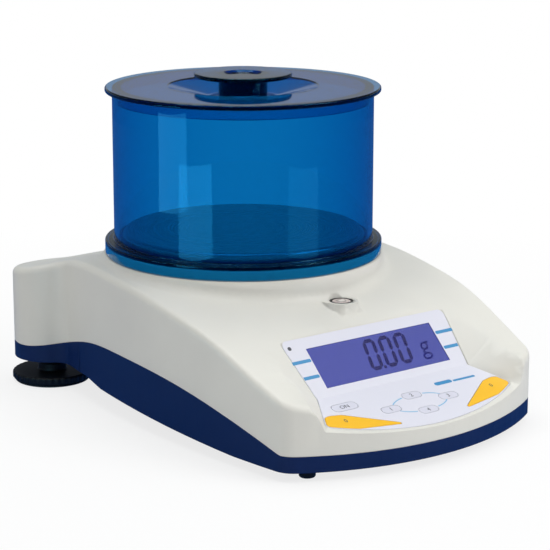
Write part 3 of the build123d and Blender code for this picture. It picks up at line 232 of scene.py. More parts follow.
def on_slope(x, distance, lift, start, tilt):
    """Points on a panel slope: y = front + distance, z rises by tan(tilt), lifted square to the slope."""
    y = FRONT + distance
    z = start[1] + (y - start[0]) * math.tan(tilt)
    return np.stack([x, y - lift * math.sin(tilt), z + lift * math.cos(tilt)], axis=-1)


def ink_patch(name, outline, start, tilt, material, top=INK, bottom=-INK):
    """A flat printed shape: its outline (x, distance behind the front face) given a hair of thickness."""
    x, distance = np.asarray(outline).T
    n = len(x)
    points = np.concatenate([on_slope(x, distance, top, start, tilt), on_slope(x, distance, bottom, start, tilt)])
    ring = np.arange(n)
    after = (ring + 1) % n
    walls = np.stack([ring, after, after + n, ring + n], axis=-1).tolist()
    mesh = bpy.data.meshes.new(name)
    mesh.from_pydata(points.tolist(), [], [ring.tolist(), (ring[::-1] + n).tolist()] + walls)
    shell = bmesh.new()
    shell.from_mesh(mesh)
    bmesh.ops.recalc_face_normals(shell, faces=shell.faces)
    bmesh.ops.triangulate(shell, faces=[f for f in shell.faces if len(f.verts) > 4])
    shell.to_mesh(mesh)
    shell.free()
    mesh.materials.append(material)
    piece = bpy.data.objects.new(name, mesh)
    bpy.context.scene.collection.objects.link(piece)
    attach(piece, "housing")
    return piece


def bar(x0, x1, middle, width):
    """A stripe with rounded ends between two x, as half circles joined by straight sides."""
    turn = np.linspace(-math.pi / 2, math.pi / 2, 7)
    r = width / 2
    right = np.stack([x1 - r + r * np.cos(turn), middle + r * np.sin(turn)], axis=-1)
    left = np.stack([x0 + r - r * np.cos(turn), middle - r * np.sin(turn)], axis=-1)
    return np.concatenate([right, left]) * MM


def arc_band(centre, half_axes, start, end, width):
    """A band along an ellipse: x = cx + (a +- w/2) cos t, distance = cy + (b +- w/2) sin t."""
    t = np.radians(np.linspace(start, end, 17))
    outer, inner = [np.stack([centre[0] + (half_axes[0] + s) * np.cos(t), centre[1] + (half_axes[1] + s) * np.sin(t)],
                             axis=-1) for s in (width / 2, -width / 2)]
    return np.concatenate([outer, inner[::-1]]) * MM


membrane_film = printed_film("polyester_film_lavender", "#E3E3EE", 0.45)
stripe_ink = printed_film("screen_ink_sky_blue", "#3C92C8", 0.4)
pale_ink = printed_film("screen_ink_pale_blue", "#86BEE2", 0.4)
legend_ink = printed_film("screen_ink_charcoal", "#4A4C55", 0.5)
dress("panel_overlay", membrane_film)

display_cos = math.cos(DISPLAY_TILT)
window_edge = window_high.x / MM
stripe_high = (window_low.y - FRONT) / MM + 15.4 * display_cos
stripe_low = (window_low.y - FRONT) / MM + 6.9 * display_cos
for side, word in ((-1, "left"), (1, "right")):
    for level, distance, reach in (("upper", stripe_high, 12.2), ("lower", stripe_low, 10.6)):
        ends = sorted((side * (window_edge + 0.5), side * (window_edge + reach)))
        if side > 0 and level == "lower":
            ends[1] -= 0.4
        reached = bar(ends[0], ends[1], distance, 1.7 * display_cos)
        limit = 49.0 if level == "upper" else 47.2
        reached[:, 0] = np.clip(reached[:, 0], -limit * MM, limit * MM)
        ink_patch(f"{word}_{level}_stripe", reached, display_start, DISPLAY_TILT, stripe_ink)

ring_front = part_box("ring_left_key")[0].y
ring_distance = (ring_front - FRONT) / MM + 2.3 * math.cos(KEYPAD_TILT)
for index, middle in enumerate((45, 135, 225, 315)):
    band = arc_band((0.0, ring_distance), (15.6, 6.0), middle - 21, middle + 21, 0.6)
    ink_patch(f"ring_arc_{index + 1}", band, keypad_start, KEYPAD_TILT, pale_ink)
ink_patch("panel_bar", bar(17.4, 28.0, 27.0, 2.3), keypad_start, KEYPAD_TILT, stripe_ink)
ink_patch("panel_bar_line", bar(28.6, 42.5, 26.6, 1.3), keypad_start, KEYPAD_TILT, stripe_ink)
ink_patch("corner_dot", bar(-47.3, -45.3, 55.0, 1.4), display_start, DISPLAY_TILT, legend_ink)

# ---------------------------------------------------------------- display
# A backlit liquid-crystal glass right under the clear part of the film.  Its polariser glows
# blue-violet all over; the figures are dark segments of one slanted seven-segment font.
lcd_polariser, lcd_tree, lcd_shader = start_material("lcd_polariser_backlit", "#1E2052", 0.4,
                                                        Specular_IOR_Level=0.1)
lcd_shader.inputs["Emission Color"].default_value = linear("#464E9E")
lcd_place = add_node(lcd_tree, "ShaderNodeTexCoord").outputs["Object"]
lcd_cloud = add_node(lcd_tree, "ShaderNodeTexNoise", {"Scale": 30.0, "Detail": 1.0}, {"Vector": lcd_place})
lcd_glow = add_node(lcd_tree, "ShaderNodeMapRange",
                    {"From Min": 0.2, "From Max": 0.8, "To Min": 0.8, "To Max": 0.9},
                    {"Value": lcd_cloud.outputs["Fac"]})
lcd_tree.links.new(lcd_glow.outputs["Result"], lcd_shader.inputs["Emission Strength"])
dress("lcd_glass", lcd_polariser)

clear_film, clear_tree, clear_shader = start_material("clear_polyester_window", "#FFFFFF", 0.04,
                                                      Transmission_Weight=1.0, IOR=1.3,
                                                      Specular_IOR_Level=0.15)
clear_place = add_node(clear_tree, "ShaderNodeTexCoord").outputs["Object"]
clear_wave = add_node(clear_tree, "ShaderNodeTexNoise", {"Scale": 60.0}, {"Vector": clear_place})
clear_bump = add_node(clear_tree, "ShaderNodeBump", {"Strength": 0.02, "Distance": 0.02 * MM},
                      {"Height": clear_wave.outputs["Fac"]})
clear_tree.links.new(clear_bump.outputs["Normal"], clear_shader.inputs["Normal"])
dress("display_window", clear_film)

glass_depth = FILM + 0.05 * MM


def lcd_ink(name, hex_colour):
    """Switched liquid crystal: a dark tone under the polariser, its sheen slightly uneven."""
    made, tree, shader = start_material(name, hex_colour, 0.4, Specular_IOR_Level=0.1)
    place = add_node(tree, "ShaderNodeTexCoord").outputs["Object"]
    cloud = add_node(tree, "ShaderNodeTexNoise", {"Scale": 400.0}, {"Vector": place})
    rough = add_node(tree, "ShaderNodeMapRange", {"To Min": 0.3, "To Max": 0.4}, {"Value": cloud.outputs["Fac"]})
    tree.links.new(rough.outputs["Result"], shader.inputs["Roughness"])
    return made


segment_ink = lcd_ink("lcd_segment_dark", "#08045A")
DIGIT_WIDTH, DIGIT_HEIGHT, STROKE, SLANT = 7.4, 16.6, 2.0, 0.17
DIGIT_PITCH, DIGIT_LEFT, DIGIT_BASE = 9.3, -8.2, 3.4
SEGMENTS = {
    "top": ((0, 1), (1, 1)), "upper_left": ((0, 0.5), (0, 1)), "upper_right": ((1, 0.5), (1, 1)),
    "lower_left": ((0, 0), (0, 0.5)), "lower_right": ((1, 0), (1, 0.5)), "bottom": ((0, 0), (1, 0)),
}


def segment(left, start, end):
    """One pointed segment bar between two corners of a digit, then slanted with the font."""
    a, b = [np.array([left + STROKE / 2 + p[0] * (DIGIT_WIDTH - STROKE),
                      STROKE / 2 + p[1] * (DIGIT_HEIGHT - STROKE)]) for p in (start, end)]
    along = (b - a) / np.linalg.norm(b - a)
    across = np.array([-along[1], along[0]]) * STROKE / 2
    tip = along * STROKE / 2
    gap = along * 0.12
    outline = np.array([a + gap, a + gap + tip + across, b - gap - tip + across, b - gap,
                        b - gap - tip - across, a + gap + tip - across])
    x = outline[:, 0] + SLANT * outline[:, 1]
    distance = (window_low.y - FRONT) / MM + (DIGIT_BASE + outline[:, 1]) * display_cos
    return np.stack([x, distance], axis=-1) * MM


lcd_top = -glass_depth + 0.03 * MM
for place in range(3):
    digit_left = DIGIT_LEFT + place * DIGIT_PITCH
    for word, (start, end) in SEGMENTS.items():
        ink_patch(f"digit_{place + 1}_{word}", segment(digit_left, start, end), display_start, DISPLAY_TILT,
                  segment_ink, top=lcd_top, bottom=lcd_top - 0.06 * MM)
point_x = DIGIT_LEFT + DIGIT_WIDTH + 0.05
point_distance = (window_low.y - FRONT) / MM + (DIGIT_BASE + 0.85) * display_cos
ink_patch("digit_point", bar(point_x, point_x + 1.7, point_distance, 1.7 * display_cos), display_start,
          DISPLAY_TILT, segment_ink, top=lcd_top, bottom=lcd_top - 0.06 * MM)


def lettering(name, text, size, x, distance, start, tilt, lift, body, material, depth=INK, shear=0.0):
    """Generic figures as a thin mesh, centred at x and distance, lying on a panel slope."""
    curve = bpy.data.curves.new(name + "_curve", "FONT")
    curve.body, curve.size, curve.shear = text, size, shear
    curve.align_x, curve.align_y = "CENTER", "CENTER"
    curve.extrude = depth
    flat = bpy.data.objects.new(name + "_flat", curve)
    bpy.context.scene.collection.objects.link(flat)
    bpy.context.view_layer.update()
    mesh = bpy.data.meshes.new_from_object(flat)
    bpy.data.objects.remove(flat)
    n = len(mesh.vertices)
    co = np.empty(n * 3, np.float32)
    mesh.vertices.foreach_get("co", co)
    co = co.reshape(-1, 3)
    placed = on_slope(x + co[:, 0], distance + co[:, 1] * math.cos(tilt), lift, start, tilt)
    placed += np.outer(co[:, 2], (0.0, -math.sin(tilt), math.cos(tilt)))
    mesh.vertices.foreach_set("co", placed.astype(np.float32).ravel())
    mesh.materials.clear()
    mesh.materials.append(material)
    mesh.name = name
    piece = bpy.data.objects.new(name, mesh)
    bpy.context.scene.collection.objects.link(piece)
    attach(piece, body)
    return piece


unit_ink = lcd_ink("lcd_segment_thin", "#33348A")
lettering("unit_g", "g", 14.0 * MM, 27.6 * MM, 45.9 * MM, display_start, DISPLAY_TILT, lcd_top, "housing",
          unit_ink, depth=0.02 * MM, shear=0.15)

# ---------------------------------------------------------------- keys
# Seven keys, each a cap moulded to lie flush in the film: amber for the two corner keys,
# the film's own tint for the rest.  Each cap rides its own dome and carries a plain figure.


def key_cap(name, hex_colour):
    """Cast urethane key cap: even colour, faint orange peel, soft gloss."""
    made, tree, shader = start_material(name, hex_colour, 0.38, Coat_Weight=0.15, Coat_Roughness=0.2)
    place = add_node(tree, "ShaderNodeTexCoord").outputs["Object"]
    peel = add_node(tree, "ShaderNodeTexNoise", {"Scale": 1 / (0.9 * MM), "Detail": 1.0}, {"Vector": place})
    bump = add_node(tree, "ShaderNodeBump", {"Strength": 0.15, "Distance": 0.015 * MM},
                    {"Height": peel.outputs["Fac"]})
    tree.links.new(bump.outputs["Normal"], shader.inputs["Normal"])
    return made


amber_cap = key_cap("urethane_cap_amber", "#FFC421")
pale_cap = key_cap("urethane_cap_lavender", "#DDDDEA")
KEY_MARKS = {
    "left_tare_key": (amber_cap, "0"), "right_tare_key": (amber_cap, "0"), "power_key": (pale_cap, "ON"),
    "ring_left_key": (pale_cap, "1"), "ring_rear_key": (pale_cap, "2"), "ring_right_key": (pale_cap, "3"),
    "ring_front_key": (pale_cap, "4"),
}
for node, (material, mark) in KEY_MARKS.items():
    dress(node, material)
    low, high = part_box(node)
    x = (low.x + high.x) / 2
    half_cap = 2.6 * MM if node == "power_key" else 2.3 * MM
    middle = low.y - FRONT + half_cap * math.cos(KEYPAD_TILT)
    if "tare" in node:
        x = math.copysign(max(abs(low.x), abs(high.x)) - 10.6 * MM, x)
        middle = 17.5 * MM
    lettering(f"{node}_mark", mark, 3.3 * MM, x, middle, keypad_start, KEYPAD_TILT, 0.0, node, legend_ink)

# ---------------------------------------------------------------- draught shield
# Injection-moulded blue acrylic: a cylinder whose foot widens to a skirt round the collar.
# The dye shows by thickness, so walls are clear blue and everything seen edge-on is navy.


def tinted_acrylic(name, roughness=0.0):
    """Clear dyed acrylic: light fades with the way it goes inside, faint mould ripple on the skin."""
    made, tree, shader = start_material(name, "#FFFFFF", roughness, Transmission_Weight=1.0, IOR=1.49,
                                        Specular_Tint=(0.12, 0.62, 0.95, 1.0))
    place = add_node(tree, "ShaderNodeTexCoord").outputs["Object"]
    ripple = add_node(tree, "ShaderNodeTexNoise", {"Scale": 22.0, "Detail": 1.0}, {"Vector": place})
    bump = add_node(tree, "ShaderNodeBump", {"Strength": 0.05, "Distance": 0.05 * MM},
                    {"Height": ripple.outputs["Fac"]})
    tree.links.new(bump.outputs["Normal"], shader.inputs["Normal"])
    dye = add_node(tree, "ShaderNodeVolumeAbsorption", {"Color": (0.02, 0.70, 0.865, 1.0), "Density": 1620.0})
    tree.links.new(dye.outputs["Volume"], tree.nodes["Material Output"].inputs["Volume"])
    return made


def rounded(corners, steps=5):
    """Closed outline of (radius, height, rounding): every corner becomes an arc that meets both sides."""
    p = np.array([c[:2] for c in corners], float)
    r = np.array([c[2] for c in corners], float)
    back, ahead = np.roll(p, 1, axis=0) - p, np.roll(p, -1, axis=0) - p
    back /= np.linalg.norm(back, axis=1)[:, None]
    ahead /= np.linalg.norm(ahead, axis=1)[:, None]
    half = np.arccos(np.clip((back * ahead).sum(1), -1, 1)) / 2
    bisector = back + ahead
    bisector /= np.linalg.norm(bisector, axis=1)[:, None]
    centre = p + bisector * (r / np.sin(half))[:, None]
    first = p + back * (r / np.tan(half))[:, None] - centre
    last = p + ahead * (r / np.tan(half))[:, None] - centre
    sweep = math.pi - 2 * half
    share = np.linspace(0, 1, steps)[None, :]
    w0 = np.sin((1 - share) * sweep[:, None]) / np.sin(sweep)[:, None]
    w1 = np.sin(share * sweep[:, None]) / np.sin(sweep)[:, None]
    arcs = centre[:, None] + w0[..., None] * first[:, None] + w1[..., None] * last[:, None]
    return arcs.reshape(-1, 2)


def turned(outline, middle, around=256):
    """A closed outline of (radius, height) carried round an upright axis: x = r cos a, y = r sin a, z = h."""
    a = np.linspace(0, 2 * math.pi, around, endpoint=False)
    r, h = outline[:, 0][:, None], outline[:, 1][:, None]
    points = np.stack([middle[0] + r * np.cos(a), middle[1] + r * np.sin(a), h + 0 * a], axis=-1)
    n, m = len(outline), around
    i, j = np.meshgrid(np.arange(n), np.arange(m), indexing="ij")
    faces = np.stack([i * m + j, ((i + 1) % n) * m + j, ((i + 1) % n) * m + (j + 1) % m, i * m + (j + 1) % m],
                     axis=-1).reshape(-1, 4)
    return points, faces


blue_acrylic = tinted_acrylic("acrylic_dyed_blue")
shield_low, shield_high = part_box("draft_shield")
shield_middle = ((shield_low.x + shield_high.x) / 2, (shield_low.y + shield_high.y) / 2)
skirt_radius = (shield_high.x - shield_low.x) / 2
SHIELD_RADIUS = 64.0 * MM
SHIELD_WALL = 2.0 * MM
SKIRT_WALL = 1.4 * MM
WEB = 2.0 * MM
collar_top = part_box("upper_housing")[1].z
web_top = collar_top + WEB
shield_outline = rounded([
    (skirt_radius, shield_low.z, 0.4 * MM), (skirt_radius, web_top, 0.66 * MM),
    (SHIELD_RADIUS, web_top, 0.8 * MM), (SHIELD_RADIUS, shield_high.z, 0.4 * MM),
    (SHIELD_RADIUS - SHIELD_WALL, shield_high.z, 0.4 * MM), (SHIELD_RADIUS - SHIELD_WALL, collar_top, 0.2 * MM),
    (skirt_radius - SKIRT_WALL, collar_top, 0.2 * MM), (skirt_radius - SKIRT_WALL, shield_low.z, 0.4 * MM)])
points, faces = turned(shield_outline, shield_middle)
shield = put_mesh("shield_cylinder", points, faces, blue_acrylic, "shield")
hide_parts("draft_shield")

# ---------------------------------------------------------------- lid and its knob
# The lid is one moulding: a flat rim on the cylinder, a lip that centres it, a dished middle.
# The knob, a disc on a stem, is cemented into the dish and stands clear for the fingertips.
lid_low, lid_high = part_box("shield_lid")
lid_radius = (lid_high.x - lid_low.x) / 2
lid_top = lid_high.z
LID_PLATE = 2.3 * MM
LIP_RADIUS = SHIELD_RADIUS - SHIELD_WALL - 0.3 * MM
LIP_WALL = 1.6 * MM
DISH_RADIUS, DISH_FLOOR, DISH_DEPTH = 37.0 * MM, 17.0 * MM, 5.2 * MM
AXIS = 0.01 * MM
lid_seat = lid_top - LID_PLATE
lid_outline = rounded([
    (AXIS, lid_top - DISH_DEPTH, 0.001 * MM), (DISH_FLOOR, lid_top - DISH_DEPTH, 9.0 * MM),
    (DISH_RADIUS, lid_top, 2.2 * MM), (lid_radius, lid_top, 0.9 * MM), (lid_radius, lid_seat, 0.7 * MM),
    (LIP_RADIUS, lid_seat, 0.15 * MM), (LIP_RADIUS, lid_low.z, 0.4 * MM),
    (LIP_RADIUS - LIP_WALL, lid_low.z, 0.4 * MM), (LIP_RADIUS - LIP_WALL, lid_seat, 0.4 * MM),
    (DISH_RADIUS, lid_seat, 2.2 * MM), (DISH_FLOOR, lid_seat - DISH_DEPTH, 9.0 * MM),
    (AXIS, lid_seat - DISH_DEPTH, 0.001 * MM)], steps=7)
points, faces = turned(lid_outline, shield_middle)
lid = put_mesh("lid_moulding", points, faces, blue_acrylic, "lid", sharp=60)
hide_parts("shield_lid")

knob_low, knob_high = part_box("lid_knob")
KNOB_RADIUS = (knob_high.x - knob_low.x) / 2
KNOB_STEM, KNOB_DIMPLE, KNOB_THICKNESS = 12.0 * MM, 9.5 * MM, 2.0 * MM
CEMENT = 0.05 * MM
knob_outline = rounded([
    (0, knob_low.z + CEMENT, 0), (KNOB_STEM, knob_low.z + CEMENT, 0.3 * MM),
    (KNOB_STEM, knob_high.z - KNOB_THICKNESS, 1.2 * MM), (KNOB_RADIUS, knob_high.z - KNOB_THICKNESS, 0.7 * MM),
    (KNOB_RADIUS, knob_high.z, 0.8 * MM), (KNOB_DIMPLE, knob_high.z, 0.6 * MM),
    (KNOB_DIMPLE - 1.2 * MM, knob_high.z - KNOB_THICKNESS / 2, 1.2 * MM),
    (0, knob_high.z - KNOB_THICKNESS / 2, 0)], steps=6)
points, faces = turned(knob_outline, shield_middle, around=192)
knob = put_mesh("lid_knob_moulding", points, faces, blue_acrylic, "lid", sharp=60)
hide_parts("lid_knob")

# ---------------------------------------------------------------- weighing pan
# Deep-drawn stainless steel with a rolled rim, its top brushed in circles on a turntable.
# It lifts off the post of the load cell's support, which a pressed socket under it holds.


def brushed_steel(name, hex_colour, roughness, centre, pitch):
    """Circular brushing: gloss and relief vary with the distance r from the brushing's own axis.

    Its lines lie some 0.05 mm apart in life and are drawn coarser.
    """
    made, tree, shader = start_material(name, hex_colour, roughness, Metallic=1.0)
    place = add_node(tree, "ShaderNodeTexCoord").outputs["Object"]
    mapped = add_node(tree, "ShaderNodeMapping", {"Location": (-centre[0], -centre[1], 0.0), "Scale": (1, 1, 0)},
                      {"Vector": place})
    radius = add_node(tree, "ShaderNodeVectorMath", links={0: mapped.outputs["Vector"]}, operation="LENGTH")
    stripes = add_node(tree, "ShaderNodeTexNoise", {"Scale": 1 / pitch, "Detail": 3.0},
                       {"W": radius.outputs["Value"]}, noise_dimensions="1D")
    gloss = add_node(tree, "ShaderNodeMapRange",
                     {"From Min": 0.3, "From Max": 0.7, "To Min": roughness - 0.06, "To Max": roughness + 0.08},
                     {"Value": stripes.outputs["Fac"]})
    tree.links.new(gloss.outputs["Result"], shader.inputs["Roughness"])
    bump = add_node(tree, "ShaderNodeBump", {"Strength": 0.25, "Distance": 0.01 * MM},
                    {"Height": stripes.outputs["Fac"]})
    tree.links.new(bump.outputs["Normal"], shader.inputs["Normal"])
    return made


pan_low, pan_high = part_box("weighing_pan")
PAN_RADIUS = (pan_high.x - pan_low.x) / 2
PAN_RIM, PAN_SHEET, PAN_SOCKET, SOCKET_BORE, SOCKET_DEPTH = 5.0 * MM, 1.2 * MM, 8.0 * MM, 5.05 * MM, 5.0 * MM
under = pan_high.z - PAN_SHEET
pan_outline = rounded([
    (0, pan_high.z, 0), (PAN_RADIUS, pan_high.z, 1.9 * MM), (PAN_RADIUS, pan_high.z - PAN_RIM, 0.5 * MM),
    (PAN_RADIUS - PAN_SHEET, pan_high.z - PAN_RIM, 0.5 * MM), (PAN_RADIUS - PAN_SHEET, under, 0.7 * MM),
    (PAN_SOCKET, under, 0.3 * MM), (PAN_SOCKET, under - SOCKET_DEPTH, 0.3 * MM),
    (SOCKET_BORE, under - SOCKET_DEPTH, 0.3 * MM), (SOCKET_BORE, under, 0.1 * MM), (0, under, 0)], steps=6)
points, faces = turned(pan_outline, shield_middle)
# The steel's colour is set darker than bare stainless steel: painted shade, standing in for the dim light that
# reaches the pan inside the shield.
pan_steel = brushed_steel("stainless_steel_turn_brushed", "#A09F9E", 0.26, shield_middle, 0.5 * MM)
pan = put_mesh("pan_pressing", points, faces, pan_steel, "pan")
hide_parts("weighing_pan")

# ---------------------------------------------------------------- feet
# Two levelling feet at the rear: a fluted black knob moulded on an M8 stud, which runs in a
# brass insert, over a rubber sole.  Two plain rubber feet are pressed into seats at the front.
black_abs = moulded_plastic("black_abs_moulded", "#101114", 0.5, 0.35 * MM, 0.015 * MM, sheen=0.3)
rubber = moulded_plastic("black_rubber_moulded", "#121315", 0.62, 0.6 * MM, 0.03 * MM)


def plated_metal(name, hex_colour, roughness, grain):
    """Plated or turned metal: fine directionless scratches in gloss and relief."""
    made, tree, shader = start_material(name, hex_colour, roughness, Metallic=1.0)
    place = add_node(tree, "ShaderNodeTexCoord").outputs["Object"]
    noise = add_node(tree, "ShaderNodeTexNoise", {"Scale": 1 / grain, "Detail": 4.0}, {"Vector": place})
    gloss = add_node(tree, "ShaderNodeMapRange",
                     {"From Min": 0.3, "From Max": 0.7, "To Min": roughness - 0.08, "To Max": roughness + 0.1},
                     {"Value": noise.outputs["Fac"]})
    tree.links.new(gloss.outputs["Result"], shader.inputs["Roughness"])
    bump = add_node(tree, "ShaderNodeBump", {"Strength": 0.15, "Distance": 0.01 * MM},
                    {"Height": noise.outputs["Fac"]})
    tree.links.new(bump.outputs["Normal"], shader.inputs["Normal"])
    return made


zinc_steel = plated_metal("steel_zinc_plated", "#B9BBBD", 0.3, 0.3 * MM)
turned_brass = plated_metal("brass_turned", "#C9A55C", 0.28, 0.2 * MM)
THREAD_PITCH, THREAD_CORE = 1.25 * MM, 3.35 * MM


def threaded(radius, middle, bottom, top, around=72, per_turn=10):
    """A screwed rod: r = core + depth |2 frac(z/pitch - angle/turn) - 1|, held plain at both ends."""
    z = np.linspace(bottom, top, int((top - bottom) / THREAD_PITCH * per_turn))
    a = np.linspace(0, 2 * math.pi, around, endpoint=False)
    zz, aa = np.meshgrid(z, a, indexing="ij")
    ridge = np.abs(2 * np.mod(zz / THREAD_PITCH - aa / (2 * math.pi), 1.0) - 1)
    fade = np.clip(np.minimum(zz - bottom, top - zz) / THREAD_PITCH, 0, 1)
    r = THREAD_CORE + (radius - THREAD_CORE) * (ridge * fade + 0.4 * (1 - fade))
    r[0], r[-1] = 0, 0
    points = np.stack([middle[0] + r * np.cos(aa), middle[1] + r * np.sin(aa), zz], axis=-1)
    n, m = zz.shape
    i, j = np.meshgrid(np.arange(n - 1), np.arange(m), indexing="ij")
    return points, np.stack([i * m + j, i * m + (j + 1) % m, (i + 1) * m + (j + 1) % m, (i + 1) * m + j],
                            axis=-1).reshape(-1, 4)


def fluted(outline, middle, flutes, depth, around=288):
    """A turned outline whose rim is scalloped: r shrinks by depth (1 + cos(flutes a))/2 near the rim."""
    points, faces = turned(outline, middle, around)
    a = np.linspace(0, 2 * math.pi, around, endpoint=False)
    reach = outline[:, 0].max()
    near = np.clip((outline[:, 0][:, None] - 0.93 * reach) / (0.07 * reach), 0, 1)
    shrink = 1 - near * depth / reach * (0.5 + 0.5 * np.cos(flutes * a))[None, :] ** 2
    points[..., 0] = middle[0] + (points[..., 0] - middle[0]) * shrink
    points[..., 1] = middle[1] + (points[..., 1] - middle[1]) * shrink
    return points, faces


for side in ("left", "right"):
    low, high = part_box(f"{side}_foot_knob")
    insert_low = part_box(f"{side}_foot_insert")[0]
    middle = ((low.x + high.x) / 2, (low.y + high.y) / 2)
    foot_radius = (high.x - low.x) / 2
    knob_top, neck_top = 5.0 * MM, insert_low.z - 4.3 * MM
    foot_outline = rounded([
        (0, low.z + 0.05 * MM, 0), (foot_radius, low.z + 0.05 * MM, 0.4 * MM), (foot_radius, knob_top, 1.1 * MM),
        (7.0 * MM, knob_top, 1.2 * MM), (7.0 * MM, neck_top, 0.6 * MM), (0, neck_top, 0)])
    points, faces = fluted(foot_outline, middle, 36, 0.5 * MM)
    foot = put_mesh(f"{side}_foot_disc", points, faces, black_abs, f"{side}_foot", sharp=50)
    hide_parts(f"{side}_foot_knob")
    points, faces = threaded(4.0 * MM, middle, neck_top - 1.0 * MM, high.z)
    put_mesh(f"{side}_foot_stud", points, faces, zinc_steel, f"{side}_foot", sharp=70)
    smooth_copy(f"{side}_foot_sole", f"{side}_sole_pad", rubber)
    smooth_copy(f"{side}_foot_insert", f"{side}_insert_bush", turned_brass)
    smooth_copy(f"{side}_front_foot", f"{side}_front_pad", rubber)

# ---------------------------------------------------------------- spirit level
# A round level in a black cup: an acrylic vial of tinted spirit with a printed ring.
# The bubble rests in the middle of its domed roof when the balance stands true.
smooth_copy("level_cup", "level_cup_moulding", black_abs)
vial_low, vial_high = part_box("level_vial")
level_middle = ((vial_low.x + vial_high.x) / 2, (vial_low.y + vial_high.y) / 2)
vial_radius = (vial_high.x - vial_low.x) / 2
spirit, spirit_tree, spirit_shader = start_material("acrylic_vial_spirit", "#C9B7B4", 0.08, Coat_Weight=1.0,
                                                    Coat_Roughness=0.03)
spirit_place = add_node(spirit_tree, "ShaderNodeTexCoord").outputs["Object"]
spirit_swirl = add_node(spirit_tree, "ShaderNodeTexNoise", {"Scale": 300.0}, {"Vector": spirit_place})
spirit_tone = add_node(spirit_tree, "ShaderNodeMapRange", {"To Min": 0.96, "To Max": 1.04},
                       {"Value": spirit_swirl.outputs["Fac"]})
spirit_shade = add_node(spirit_tree, "ShaderNodeHueSaturation", {"Color": linear("#C9B7B4")},
                        {"Value": spirit_tone.outputs["Result"]})
spirit_tree.links.new(spirit_shade.outputs["Color"], spirit_shader.inputs["Base Color"])
points, faces = turned(rounded([(0, vial_low.z, 0), (vial_radius, vial_low.z, 0.3 * MM),
                                (vial_radius, vial_high.z, 0.5 * MM), (0, vial_high.z, 0)]), level_middle, around=96)
vial = put_mesh("level_vial_body", points, faces, spirit, "housing")
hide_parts("level_vial")
ring_r = 2.1 * MM
points, faces = turned(np.array([(ring_r, vial_high.z + 0.03 * MM), (ring_r + 0.25 * MM, vial_high.z + 0.03 * MM),
                                 (ring_r + 0.25 * MM, vial_high.z - 0.03 * MM), (ring_r, vial_high.z - 0.03 * MM)]),
                       level_middle, around=96)
put_mesh("level_ring_print", points, faces, legend_ink, "housing")
bubble_air, bubble_tree, bubble_shader = start_material("level_bubble", "#F2ECE6", 0.05, Coat_Weight=1.0)
bubble_swirl = add_node(bubble_tree, "ShaderNodeTexNoise", {"Scale": 300.0},
                        {"Vector": add_node(bubble_tree, "ShaderNodeTexCoord").outputs["Object"]})
bubble_gloss = add_node(bubble_tree, "ShaderNodeMapRange", {"To Min": 0.03, "To Max": 0.08},
                        {"Value": bubble_swirl.outputs["Fac"]})
bubble_tree.links.new(bubble_gloss.outputs["Result"], bubble_shader.inputs["Roughness"])
points, faces = turned(rounded([(0, vial_high.z - 0.1 * MM, 0), (1.7 * MM, vial_high.z - 0.1 * MM, 0.1 * MM),
                                (1.5 * MM, vial_high.z + 0.08 * MM, 0.15 * MM), (0, vial_high.z + 0.12 * MM, 0)]),
                       (level_middle[0] + 0.3 * MM, level_middle[1] + 0.2 * MM), around=64)
put_mesh("level_bubble_lens", points, faces, bubble_air, "housing")

# ---------------------------------------------------------------- ports in the rear wall
# A panel socket for the mains adaptor with its centre contact, and a nine-way data connector:
# plated shell, black insulator with gilt contacts, and a hexagonal post at each end.


def prism_y(name, outline, y0, y1, material):
    """A prism along Y from an outline of (x, z), closed at both ends."""
    x, z = np.asarray(outline).T
    n = len(x)
    points = np.concatenate([np.stack([x, np.full(n, y), z], axis=-1) for y in (y0, y1)])
    ring = np.arange(n)
    after = (ring + 1) % n
    mesh = bpy.data.meshes.new(name)
    mesh.from_pydata(points.tolist(), [], [ring[::-1].tolist(), (ring + n).tolist()]
                     + np.stack([ring, after, after + n, ring + n], axis=-1).tolist())
    shell = bmesh.new()
    shell.from_mesh(mesh)
    bmesh.ops.recalc_face_normals(shell, faces=shell.faces)
    shell.to_mesh(mesh)
    shell.free()
    mesh.shade_smooth()
    mesh.set_sharp_from_angle(angle=math.radians(35))
    mesh.materials.append(material)
    piece = bpy.data.objects.new(name, mesh)
    bpy.context.scene.collection.objects.link(piece)
    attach(piece, "housing")
    return piece


def round_outline(x, z, radius, sides=32, phase=0.0):
    """A regular polygon about (x, z): (x + r cos a, z + r sin a)."""
    a = np.linspace(0, 2 * math.pi, sides, endpoint=False) + phase
    return np.stack([x + radius * np.cos(a), z + radius * np.sin(a)], axis=-1)


smooth_copy("power_jack", "power_socket", black_abs)
jack_low, jack_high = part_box("power_jack")
jack_x, port_z = (jack_low.x + jack_high.x) / 2, (jack_low.z + jack_high.z) / 2
prism_y("power_contact", round_outline(jack_x, port_z, 1.05 * MM), jack_high.y - 9 * MM, jack_high.y - 0.8 * MM,
        turned_brass)
smooth_copy("data_port", "data_connector_shell", zinc_steel)
data_low, data_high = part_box("data_port")
data_x = (data_low.x + data_high.x) / 2
insulator = rounded([(data_x - 7.5 * MM, port_z - 3.3 * MM, 1 * MM), (data_x + 7.5 * MM, port_z - 3.3 * MM, 1 * MM),
                     (data_x + 7.5 * MM, port_z + 3.3 * MM, 1 * MM), (data_x - 7.5 * MM, port_z + 3.3 * MM, 1 * MM)])
prism_y("data_insulator", insulator, data_high.y - 0.4 * MM, data_high.y + 0.05 * MM, black_abs)
gilt = plated_metal("contact_gold_plated", "#D9B45A", 0.22, 0.2 * MM)
for row, count in ((1, 5), (-1, 4)):
    for place in range(count):
        x = data_x + (place - (count - 1) / 2) * 2.8 * MM
        prism_y(f"data_contact_{'upper' if row > 0 else 'lower'}_{place + 1}",
                round_outline(x, port_z + row * 1.4 * MM, 0.55 * MM, 16), data_high.y - 0.3 * MM,
                data_high.y + 0.08 * MM, gilt)
